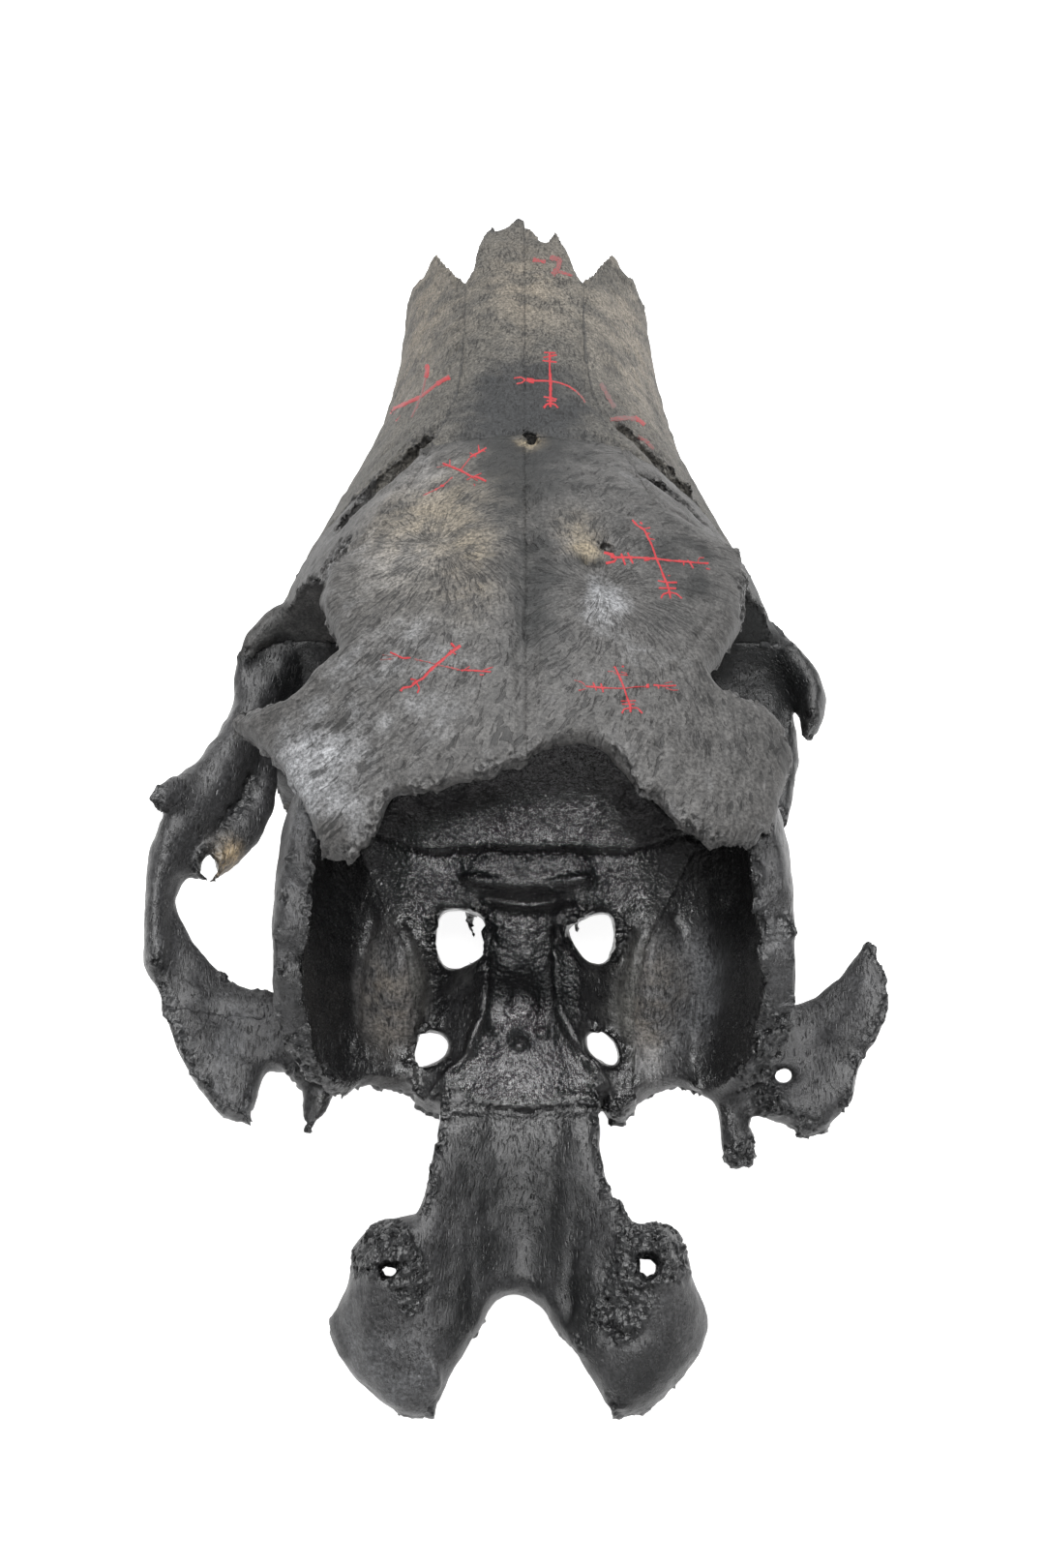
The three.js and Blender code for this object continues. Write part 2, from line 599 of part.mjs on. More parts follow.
// Left cheek arch, from the temporal plate round to the cheekbone, with the stub of its upright bar
function leftArch() {
  const bar = limb([
    [-80.5, 73, 73, 3.2, 7], [-81.7, 88, 75, 3, 7.5], [-79.7, 102, 77, 4.6, 8.5],
    [-74, 115, 77, 6.5, 8.5], [-68, 130, 75, 5.5, 9],
    [-62.5, 146, 73, 5, 10], [-57, 160, 70, 6, 11],
  ], { steps: 2, sides: 10 });
  const stub = limb([[-75, 118, 78, 4, 7], [-78, 112, 85, 3.4, 5], [-81.5, 107.5, 90, 2.4, 3.2]],
      { steps: 2, sides: 8, up: [0, 1, 0.3] });
  const shelf = limb([[-63, 141, 70, 4.5, 5], [-63, 126, 68, 5.5, 5], [-65, 112, 70, 5, 5],
      [-73, 100, 74, 5, 5]], { steps: 2, sides: 8 });
  const rim = limb([[-57, 165, 84, 4, 5], [-64.5, 157, 83, 3, 4.6], [-66.5, 149, 79, 2.6, 5],
      [-66.5, 139, 76, 2.6, 5]], { steps: 2, sides: 8 });
  return union([bar, stub, shelf, rim]).subtract(sightHole(-71, 98.5, 76, 2.2, 3.6, 12));
}

// Right cheekbone, broken off behind the orbit
function rightCheek() {
  const rim = limb([[57, 165, 71, 6, 11], [64, 157, 74, 4.4, 8.5], [68.5, 147, 75, 3.8, 7.5],
      [67, 137, 76, 2.4, 4.5]], { steps: 2, sides: 10 });
  const lower = limb([[56, 158, 62, 6, 8], [62.5, 144, 64, 4, 6], [61.5, 131, 64, 3.4, 5],
      [60, 120, 64, 2.4, 3.2]], { steps: 2, sides: 8 });
  return union([rim, lower]);
}

// What each orbit takes out of the side of the face, as two overlapping ovals
function orbitSpace(side) {
  const bowl = blob([side * 52, 134, 92], [27, 28, 27], { segments: 16 });
  const throat = blob([side * 40, 118, 72], [22, 34, 24], { segments: 14 });
  return union([bowl, throat]);
}

// The gap in front of each orbit where lacrimal, frontal, nasal and maxilla leave an opening
function lacrimalGaps() {
  const left = limb([[-24, 205, 104, 2.4, 9], [-30, 197, 102, 5, 10], [-37, 186, 98, 5.8, 10],
      [-41, 176, 96, 3.4, 9]], { steps: 2, sides: 10 });
  const right = limb([[24, 212, 102, 2, 9], [33, 205, 98, 3, 9], [40, 195, 94, 2, 9]],
      { steps: 2, sides: 10 });
  const slitRight = limb([[29, 186, 112, 2, 9], [36, 183, 108, 2.2, 9], [43, 179, 104, 1.6, 8]],
      { steps: 2, sides: 8 });
  return union([left, right, slitRight]);
}

function infraorbitalHoles() {
  return union([-1, 1].map((side) => limb(
    [[side * 24, 236, 48, 3.4, 4.4], [side * 34, 245, 52, 3.6, 4.8], [side * 46, 256, 54, 4.2, 5.4]],
    { steps: 2, sides: 10 },
  )));
}

// Broken front of the upper jaw: a notch beside each nasal and a ragged lower corner
function brokenFront(side) {
  const notch = [[16.3, 280], [16.6, 284], [19, 290], [20.5, 296], [22.5, 303], [24.5, 309], [26, 330],
      [0, 330], [0, 280]];
  const corner = [[24.5, 309], [27, 306.5], [28.5, 302], [31, 303.5], [34, 299], [45, 297], [45, 330],
      [24, 330]];
  const toSide = (outline) => outline.map((point) => [point[0] * side, point[1]]);
  const underside = sidePrism([[262, 18], [276, 24], [290, 25], [300, 34], [306, 48], [330, 48],
      [330, 0], [262, 0]], -60, 60);
  return union([planPrism(toSide(notch), 60, 130), planPrism(toSide(corner), -5, 130), underside]);
}

// Wing plates beside the rear nasal opening, and the side walls of the palate bones
function wingPlates() {
  return union([-1, 1].map((side) => limb([
    [side * 11.5, 90, 62, 2.4, 7], [side * 11.5, 100, 53, 2, 11], [side * 13, 112, 46, 1.9, 13],
    [side * 14.5, 126, 40, 2, 14],
    [side * 16, 142, 34, 2.6, 11],
  ], { steps: 2, sides: 8 })));
}

// Openings in the braincase floor, front pair and rear pair, [across, up] from the middle of each
const FRONT_OPENING_LEFT = [
  [-4.8, -6.1], [-1.5, -7.6], [2, -5.4], [5.2, -4.3], [5.6, -0.6], [5.4, 4.8], [0.2, 6.5], [-5.4, 5.9],
  [-5.9, -0.6],
];
const FRONT_OPENING_RIGHT = [
  [-2.8, -3.3], [-0.2, -6.3], [3.3, -5.9], [5, -2], [5.2, 2.8], [4.6, 6.1], [0.4, 5.4], [-3.7, 3.9],
  [-6.5, 2.4], [-5, 0.2],
];
const REAR_OPENING_LEFT = [
  [-4.2, -3.5], [-1.1, -4.2], [2.9, -1.8], [4.2, 0.9], [2.2, 3.5], [-0.7, 4.2], [-3.3, 3.1], [-4, -0.2],
];
const REAR_OPENING_RIGHT = [
  [-1.1, -2.9], [2.4, -4.2], [4.2, -3.3], [3.7, 0], [1.5, 3.3], [-1.3, 4.6], [-4, 3.3], [-3.5, -0.2],
];
const OPENING_REACH = 40;

function skullBelowRoof() {
  const openings = union([braincaseCavity(), lostVault(), planPrism(REAR_EDGE, 50, 140), nasalCavity()]);
  const muzzle = union([face(), septum()]).subtract(union([orbitSpace(-1), orbitSpace(1)]));
  const shell = union([muzzle, braincaseOuter(), zygomaticProcesses()]).subtract(openings);
  const limbs = union([
    occipitalBase(), earStalk(), rearSpicule(), leftArch(), rightCheek(), wingPlates(),
    cheekTeeth(-1), cheekTeeth(1),
  ]);
  const foramina = union([
    sightOpening([-14, 83.5, 70], FRONT_OPENING_LEFT, OPENING_REACH),
    sightOpening([15, 83.5, 70], FRONT_OPENING_RIGHT, OPENING_REACH),
    sightOpening([-20, 59, 64], REAR_OPENING_LEFT, OPENING_REACH),
    sightOpening([17, 59, 64], REAR_OPENING_RIGHT, OPENING_REACH),
    lacrimalGaps(), infraorbitalHoles(), brokenFront(-1), brokenFront(1),
  ]);
  return shell.add(limbs).subtract(foramina);
}

// Keeps the largest closed surface and drops loose scraps.
function largest(body) {
  const pieces = body.decompose();
  return pieces.reduce((best, piece) => (piece.volume() > best.volume() ? piece : best));
}

function mesh(name, body, color, roughness) {
  const result = largest(body).getMesh();
  const geometry = new THREE.BufferGeometry();
  geometry.setAttribute('position', new THREE.BufferAttribute(Float32Array.from(result.vertProperties), 3));
  geometry.setIndex(new THREE.BufferAttribute(Uint32Array.from(result.triVerts), 1));
  geometry.translate(SKULL_SHIFT.x, SKULL_SHIFT.y, SKULL_SHIFT.z);
  geometry.computeVertexNormals();
  const material = new THREE.MeshStandardMaterial({ color, roughness, metalness: 0 });
  const bone = new THREE.Mesh(geometry, material);
  bone.name = name;
  return bone;
}

// Sutures below the roof: each bone takes its own territory, in this order, from what is left
const CHEEK_PLAN = [[57.5, 50], [57.5, 111], [44, 111], [44, 175], [100, 175], [100, 50]];
const ZYGOMATIC_LEFT_SIDE = [[66, 60], [60, 92], [100, 96], [142, 96], [152, 84], [168, 76], [172, 62],
    [150, 52], [100, 52]];
const ZYGOMATIC_RIGHT_SIDE = [[112, 52], [112, 96], [142, 96], [152, 84], [168, 76], [172, 62], [150, 52]];
const LACRIMAL_SIDE = [[140, 96.6], [151, 84.6], [170, 77], [190, 84], [198, 100], [196, 125], [140, 125]];
const MAXILLA_PLAN = [[0.15, 179], [17.5, 179], [17.5, 128], [100, 128], [100, 340], [0.15, 340]];
const OCCIPITAL_PLAN = [[-19.5, 44.5], [19, 44.5], [20.5, 29], [41, 23.5], [50, -40], [-50, -40],
    [-40, 26], [-21.5, 29]];
const TEMPORAL_PLAN = [[24, 20], [24, 66], [27, 84], [36, 97], [45, 108], [60, 118], [62, 110],
    [100, 110], [100, 20]];
const TEMPORAL_WALL_PLAN = [[16, 20], [16, 102.7], [60, 102.7], [60, 20]];
const ETHMOID_PLAN = [[-50, 103], [50, 103], [50, 128], [17.2, 128], [17.2, 200], [-17.2, 200],
    [-17.2, 128], [-50, 128]];

function territory(low, grown) {
  return { low, grown };
}

function planTerritory(outline, low, high) {
  return territory(planPrism(outline, low, high),
      planPrism(grow(outline, SUTURE_GAP), low - SUTURE_GAP, high + SUTURE_GAP));
}

function sideTerritory(outline, low, high) {
  return territory(sidePrism(outline, low, high),
      sidePrism(grow(outline, SUTURE_GAP), low - SUTURE_GAP, high + SUTURE_GAP));
}

// The space that two territories share.
function both(first, second) {
  return territory(first.low.intersect(second.low), first.grown.intersect(second.grown));
}

// The space that either of two territories holds.
function either(first, second) {
  return territory(first.low.add(second.low), first.grown.add(second.grown));
}

// A temporal bone: the floor beside the sphenoid, and the whole side wall above it.
function temporalTerritory(onSide) {
  return either(planTerritory(onSide(TEMPORAL_PLAN), 0, 160),
      planTerritory(onSide(TEMPORAL_WALL_PLAN), 86, 160));
}

const BONE_COLOURS = { snout: 0x5a5752, roof: 0x4c4b4a, deep: 0x262524, edge: 0x353433 };

function build() {
  const group = new THREE.Group();
  const roof = [
    ['nasal_left', nasalLeftOutline, BONE_COLOURS.snout],
    ['nasal_right', nasalRightOutline, BONE_COLOURS.snout],
    ['frontal_left', frontalLeftOutline, BONE_COLOURS.roof],
    ['frontal_right', frontalRightOutline, BONE_COLOURS.roof],
  ];
  const nasionHole = blob([1, NASION_Y + 1, 112], [1.7, 2.6, 12], { segments: 10 });
  const knothole = blob([18, 150, 128], [2.6, 2.6, 4], { segments: 10 });
  for (const [name, outline, color] of roof) {
    group.add(mesh(name, roofBone(outline).subtract(nasionHole).subtract(knothole), color, 0.75));
  }
  let rest = skullBelowRoof().subtract(union(roof.map((bone) => roofSpace(bone[1]))));
  const take = (name, place, color) => {
    group.add(mesh(name, rest.intersect(place.low), color, 0.8));
    rest = rest.subtract(place.grown);
  };
  const leftCheek = both(sideTerritory(ZYGOMATIC_LEFT_SIDE, -100, 0),
      planTerritory(mirrorOutline(CHEEK_PLAN), 0, 160));
  const rightCheekbone = both(sideTerritory(ZYGOMATIC_RIGHT_SIDE, 0, 100),
      planTerritory(CHEEK_PLAN, 0, 160));
  take('zygomatic_left', leftCheek, BONE_COLOURS.edge);
  take('zygomatic_right', rightCheekbone, BONE_COLOURS.edge);
  take('lacrimal_left', sideTerritory(LACRIMAL_SIDE, -90, -24), BONE_COLOURS.roof);
  take('lacrimal_right', sideTerritory(LACRIMAL_SIDE, 24, 90), BONE_COLOURS.roof);
  take('maxilla_left', planTerritory(mirrorOutline(MAXILLA_PLAN), -10, 160), BONE_COLOURS.snout);
  take('maxilla_right', planTerritory(MAXILLA_PLAN, -10, 160), BONE_COLOURS.snout);
  take('occipital', planTerritory(OCCIPITAL_PLAN, 0, 160), BONE_COLOURS.edge);
  take('temporal_left', temporalTerritory(mirrorOutline), BONE_COLOURS.edge);
  take('temporal_right', temporalTerritory((outline) => outline), BONE_COLOURS.edge);
  take('ethmoid', planTerritory(ETHMOID_PLAN, 72, 160), BONE_COLOURS.deep);
  take('palatine', planTerritory([[-30, 86], [30, 86], [30, 220], [-30, 220]], 0, 54), BONE_COLOURS.deep);
  take('sphenoid', planTerritory([[-70, 0], [70, 0], [70, 220], [-70, 220]], 0, 160), BONE_COLOURS.deep);
  return group;
}

const group = build();

export default group;
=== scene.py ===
"""Painted elk skull: the bones' finish, the painted staves and the studio around them."""

import math

import bmesh
import bpy
import numpy as np
from mathutils import Matrix, Vector
from mathutils.bvhtree import BVHTree
from mathutils.kdtree import KDTree


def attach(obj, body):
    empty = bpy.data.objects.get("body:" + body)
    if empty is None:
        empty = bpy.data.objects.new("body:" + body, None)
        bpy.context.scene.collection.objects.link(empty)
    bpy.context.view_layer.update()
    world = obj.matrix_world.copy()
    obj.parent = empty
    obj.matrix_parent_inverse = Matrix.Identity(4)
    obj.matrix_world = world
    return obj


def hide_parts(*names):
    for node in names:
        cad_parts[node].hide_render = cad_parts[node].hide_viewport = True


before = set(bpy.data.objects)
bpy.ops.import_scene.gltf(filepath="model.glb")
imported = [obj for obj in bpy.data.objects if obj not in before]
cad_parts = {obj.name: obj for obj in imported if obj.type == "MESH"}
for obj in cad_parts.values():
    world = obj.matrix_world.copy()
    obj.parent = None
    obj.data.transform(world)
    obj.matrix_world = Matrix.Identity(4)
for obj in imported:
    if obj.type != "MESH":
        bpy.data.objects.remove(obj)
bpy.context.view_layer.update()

bl_info = {
    "name": "Painted Elk Skull",
    "version": (1, 0, 0),
    "blender": (4, 5, 0),
    "location": "View3D > Sidebar > Skull",
    "description": "Weathered bone surfaces, painted staves and a plain studio for an elk skull",
    "category": "Object",
}

MM = 0.001

# The skull's own origin lies at the front lip of the hole for the spinal cord.
# These millimetres carry it to the middle of the model's floor.
ORIGIN_SHIFT = np.array([2.45, -149.25, 0.0])

SNOUT_BONES = ("nasal_left", "nasal_right", "maxilla_left", "maxilla_right")
ROOF_BONES = ("frontal_left", "frontal_right", "lacrimal_left", "lacrimal_right")
BROKEN_BONES = ("zygomatic_left", "zygomatic_right", "temporal_left", "temporal_right", "occipital")
INSIDE_BONES = ("ethmoid", "sphenoid", "palatine")

# Colours of each group's bone, sRGB hex: ground, pale and dark mottling, tan patches.
SNOUT_COLOURS = ("#45433f", "#716d66", "#232425", "#70675a")
ROOF_COLOURS = ("#3c3b3a", "#7a7b7d", "#191a1a", "#6b6252")
BROKEN_COLOURS = ("#2a2a2b", "#5c5d5f", "#0c0d0e", "#8c7c64")
INSIDE_COLOURS = ("#202021", "#5a5a58", "#0b0b0c", "#565046")

# Sutures, in mm: another bone this near counts as touching, and how far a bone reaches past
# the middle of the gap.
SEAM_TOUCH = 0.5
BONE_LAP, SNOUT_LAP = 0.5, 0.45

# Seeds of the noise patterns; each axis and layer adds to them.
SWAY_SEED, RELIEF_SEED, GRAIN_SEED, PIT_SEED = 11, 31, 41, 61
ZONE_SEED, JAG_SEED, PATCH_SEED = 71, 81, 91

# Sizes in mm of the noise on broken edges: their jags, the width of the spongy zone
# along an edge, and the outline of spongy patches.
JAG_SIZE, ZONE_SIZE, PATCH_SIZE = 2.2, 9, 6

# Heights and lengths where the surface changes, in skull millimetres. Teeth are bare
# enamel below the first height and bone above the second. No broken edge lies under
# BROKEN_FLOOR. Between the lengths, broken edges turn smooth and thin tips turn round.
TOOTH_CROWNS = (12, 16)
BROKEN_FLOOR = 26
SMOOTH_SNOUT = (256, 284)
ROUND_TIPS = (288, 304)

# A point is on a broken edge when smoothing moves it this many times further than
# props.edge_low, and no suture is closer than this.
EDGE_TIMES = 1.6
EDGE_SEAM = 0.05

# The braincase: the point that its inner faces look at, how squarely they must do so, and
# the skull millimetres over which its glossy crust sets in or ends.
CASE_MIDDLE = np.array([2.0, 66.0, 84.0])
CASE_FACING = (0.05, 0.45)
CASE_REAR, CASE_FRONT = (26, 50), (128, 150)
CASE_SIDES, CASE_TOP = (46, 54), (112, 122)

# The colouring grain: its width over its length, how far it sways, and how it turns round
# a frontal bone's middle, in radians per mm, on a drum of this radius in mm.
STREAK_WIDTH = 0.16
STREAK_SWAY, RAY_SWAY = 0.8, 0.9
RAY_TURN, RAY_DRUM = 0.012, 17.0

# The film of paint's width as a share of the drawn stroke's.
BRUSH_SHARE = 0.85

# The studio: half the floor's width in metres, the point the lights face, and each
# softbox's place, width in metres and power setting.
FLOOR_HALF = 4.0
LIT_POINT = Vector((0.0, 0.0, 0.06))
SOFTBOXES = {
    "overhead_softbox": ((0.05, 0.35, 0.95), 0.7, "key"),
    "rear_softbox": ((0.03, -0.45, 0.98), 0.16, "fill"),
}

# Places where the outer skin of the bone is gone and its spongy core shows: centre,
# reach (three half axes), amount.
SPONGY_PATCHES = {
    "wall_left": ((-48, 44, 80), (7, 10, 18), 1.0),
    "wall_right": ((52, 46, 82), (7, 14, 22), 1.1),
    "brow_left": ((-43, 158, 113), (5, 12, 8), 1.0),
    "brow_right": ((49, 142, 112), (6, 16, 9), 0.9),
    "cheek_right": ((73, 122, 84), (8, 10, 14), 0.9),
    "stalk": ((46, 32, 60), (8, 6, 9), 1.2),
    "process_right": ((82, 40, 58), (6, 8, 10), 1.0),
    "occipital_left": ((-30, 12, 66), (8, 8, 12), 1.4),
    "occipital_left_inner": ((-23, 4, 64), (4, 6, 10), 1.0),
    "occipital_right": ((27, 12, 65), (9, 9, 12), 1.4),
    "occipital_right_inner": ((19, -1, 62), (6, 7, 10), 1.3),
}

# Tones laid over the ground colour: centre, reach (three half axes), amount. A
# positive amount is lighter, a negative one is darker.
TONE_PATCHES = {
    "nasal_ends": ((-6, 322, 76), (14, 16, 20), -0.6),
    "snout_left": ((-30, 262, 76), (14, 46, 26), 0.2),
    "snout_right": ((30, 264, 76), (12, 46, 26), 0.55),
    "nasal_right": ((10, 270, 88), (8, 34, 12), 0.25),
    "nasal_left": ((-8, 262, 90), (9, 34, 12), -0.25),
    "nasion": ((0, 212, 107), (17, 26, 16), -1.3),
    "nasion_rear": ((-1, 176, 119), (14, 32, 12), -1.0),
    "frontal_midline": ((2, 128, 132), (9, 28, 12), -0.75),
    "frontal_left_front": ((-21, 178, 116), (11, 16, 12), 0.45),
    "frontal_left_middle": ((-24, 148, 126), (15, 16, 12), 0.45),
    "frontal_left_rear": ((-24, 116, 132), (18, 12, 12), 0.3),
    "frontal_right_silver": ((16, 129, 132), (6, 10, 8), 0.7),
    "knothole": ((14, 143, 130), (2.4, 2.2, 5), -2.6),
    "knothole_rim": ((9, 148, 129), (3, 4, 5), 0.5),
    "frontal_right_outer": ((34, 146, 122), (12, 20, 12), -0.7),
    "brow_left": ((-38, 92, 120), (18, 14, 12), 0.9),
    "brow_right": ((40, 96, 118), (16, 14, 12), -0.45),
    # Painted shade: the insides of both orbits are darkened where shadow falls deep in them.
    "orbit_left": ((-56, 152, 76), (12, 24, 24), -0.9),
    "orbit_right": ((58, 150, 74), (14, 26, 24), -2.6),
    "fossa_left": ((-30, 72, 67), (9, 17, 10), 1.1),
    "fossa_right": ((30, 70, 67), (11, 18, 10), 1.5),
    "wall_right": ((41, 72, 74), (6, 14, 12), 0.6),
    "lobe_left": ((-27, -12, 52), (12, 12, 16), 0.4),
    "lobe_right": ((25, -12, 52), (12, 12, 16), -0.65),
    "process_left": ((-70, 44, 56), (14, 18, 14), 1.1),
    "process_right": ((74, 54, 58), (14, 18, 14), -0.85),
    # Painted sheen: the middle of the basin is lighter where light shines off it.
    "basin": ((-1, 19, 59), (5, 5, 8), 0.6),
    "basin_round": ((0, 18, 59), (16, 18, 12), -0.95),
    "basioccipital": ((0, 40, 62), (18, 14, 12), -1.3),
    # Painted shade: the inner walls between the two occipital lobes are darkened where shadow falls between
    # them.
    "occipital_inner_left": ((-13, -2, 56), (5, 14, 12), -1.0),
    "occipital_inner_right": ((11, -2, 56), (5, 14, 12), -1.0),
}

# Tan and beige patches: centre, reach, amount.
WARM_PATCHES = {
    "snout_left": ((-30, 270, 74), (14, 44, 26), 0.6),
    "snout_right": ((30, 262, 76), (12, 46, 26), 0.6),
    "nasals": ((2, 276, 90), (14, 34, 14), 0.55),
    "frontal_left": ((-22, 158, 122), (13, 26, 14), 0.75),
    "frontal_left_inner": ((-12, 140, 130), (6, 16, 10), 0.6),
    "knothole_crumbs": ((13, 146, 129), (3.5, 3, 5), 1.1),
    "frontal_right_front": ((12, 152, 128), (5, 8, 8), 0.5),
    "pothole_rim": ((1, 195, 111), (3, 4, 5), 1.6),
    "fossa_left": ((-30, 70, 66), (7, 14, 10), 0.35),
    "fossa_right": ((28, 70, 66), (7, 14, 10), 0.35),
    "jugal_hole": ((-67, 101, 72), (3.5, 5, 6), 1.5),
    "orbit_right": ((60, 130, 90), (8, 8, 10), 0.25),
}

# Ridges and grooves: points along each, half width and height in millimetres. A
# negative height is a groove.
RIDGES = {
    "braincase_lip": (
        [(-13, 95.6, 76), (-4.8, 94.4, 75.6), (0.6, 94.2, 75.4), (6, 94.4, 75.6), (14, 95.6, 76)], 1.4, 1.3
    ),
    "lip_shade": ([(-9, 92.0, 73.5), (0.6, 91.2, 72.6), (10, 92.0, 73.5)], 1.6, -2.2),
    "occipital_ridge_left": ([(-19, 20, 64), (-20.5, 6, 62), (-20, -6, 58), (-17, -17, 54)], 1.3, 2.1),
    "occipital_ridge_right": ([(16, 21, 63), (15, 8, 62), (15, -6, 58), (21, 2, 62), (33, 8, 62)], 1.3, 1.4),
    "basin_side_left": ([(-16, 30, 62), (-12, 12, 60), (-11, 0, 58)], 1.8, -1.0),
    "basin_side_right": ([(14, 30, 62), (10, 12, 60), (9, 0, 58)], 1.8, -1.0),
    "side_ridge_left": (
        [(-8.4, 85, 72), (-9, 72.8, 71.3), (-9.4, 62.9, 71.4), (-12, 55.4, 69.4), (-20.3, 46.6, 63.6)],
        1.0, 2.0,
    ),
    "side_ridge_right": (
        [(7.6, 85, 71), (7.6, 73.6, 70), (8.6, 63.3, 70.8), (12, 55.4, 69.3), (20, 45.9, 64)], 1.0, 2.0
    ),
    "crossing": ([(-8, 79, 72), (0, 77.6, 71), (7.4, 79, 71)], 0.9, 1.0),
    "oval_rim_left": ([(-22, 62, 66), (-21, 76, 66), (-26, 88, 69)], 1.2, 0.9),
    "oval_rim_right": ([(21, 58, 66), (20, 72, 66), (24, 86, 68)], 1.2, 0.9),
    "fossa_fold_left": ([(-37, 56, 70), (-36.5, 74, 69.5), (-34, 88, 71)], 1.1, 0.9),
    "fossa_fold_right": ([(36, 54, 68), (37, 72, 69), (34, 88, 71)], 1.1, 0.9),
    "midline_rear": ([(0, 46, 62), (0, 34, 60), (0, 24, 59)], 1.0, 0.5),
    "brow_crack": (
        [(40, 130.6, 124.9), (31.7, 113.2, 130.1), (22.2, 104.5, 133.1), (17, 96.6, 133.7)], 0.7, -0.5
    ),
}

# Rounded swellings and hollows: centre, reach (three half axes), height.
SWELLINGS = {
    "lip_slope": ((0.6, 98.5, 77), (15, 5, 8), 2.0),
    "saddle": ((-1, 68, 68.5), (6, 6.5, 8), 3.2),
    "saddle_pit": ((-1.1, 58.5, 68.8), (1.9, 1.9, 5), -3.2),
    "saddle_pit_left": ((-6.2, 60.7, 69.5), (1.3, 1.3, 5), -1.2),
    "saddle_pit_right": ((3.7, 60.7, 68.6), (1.3, 1.3, 5), -1.2),
    "oval_left": ((-29.6, 74, 66), (6, 13, 9), -2.0),
    "oval_right": ((27.5, 72, 66), (6.5, 14, 9), -2.0),
    "oval_outer_right": ((41, 71, 72), (4, 13, 10), -1.0),
    "nerve_bowl_right": ((13, 44.5, 66.6), (4, 3, 6), -2.0),
    "nerve_bowl_left": ((-12, 45, 66.6), (3, 3, 6), -1.2),
    "basin": ((0, 14, 58), (7, 8, 8), -1.6),
    "knothole": ((14, 143, 131), (1.6, 1.5, 5), -1.9),
    "pothole": ((0.7, 196, 112), (1.6, 2.2, 5), -2.0),
    "frontal_dish_left": ((-20, 150, 126), (12, 22, 12), -0.9),
    "frontal_dish_right": ((20, 134, 131), (12, 18, 12), -0.9),
    "nasion_dish": ((0, 205, 109), (10, 16, 12), -0.9),
}

# Middles of the frontal bones, from which their grain spreads.
GRAIN_MIDDLES = {"frontal_left": (-20.0, 150.0), "frontal_right": (16.0, 134.0)}

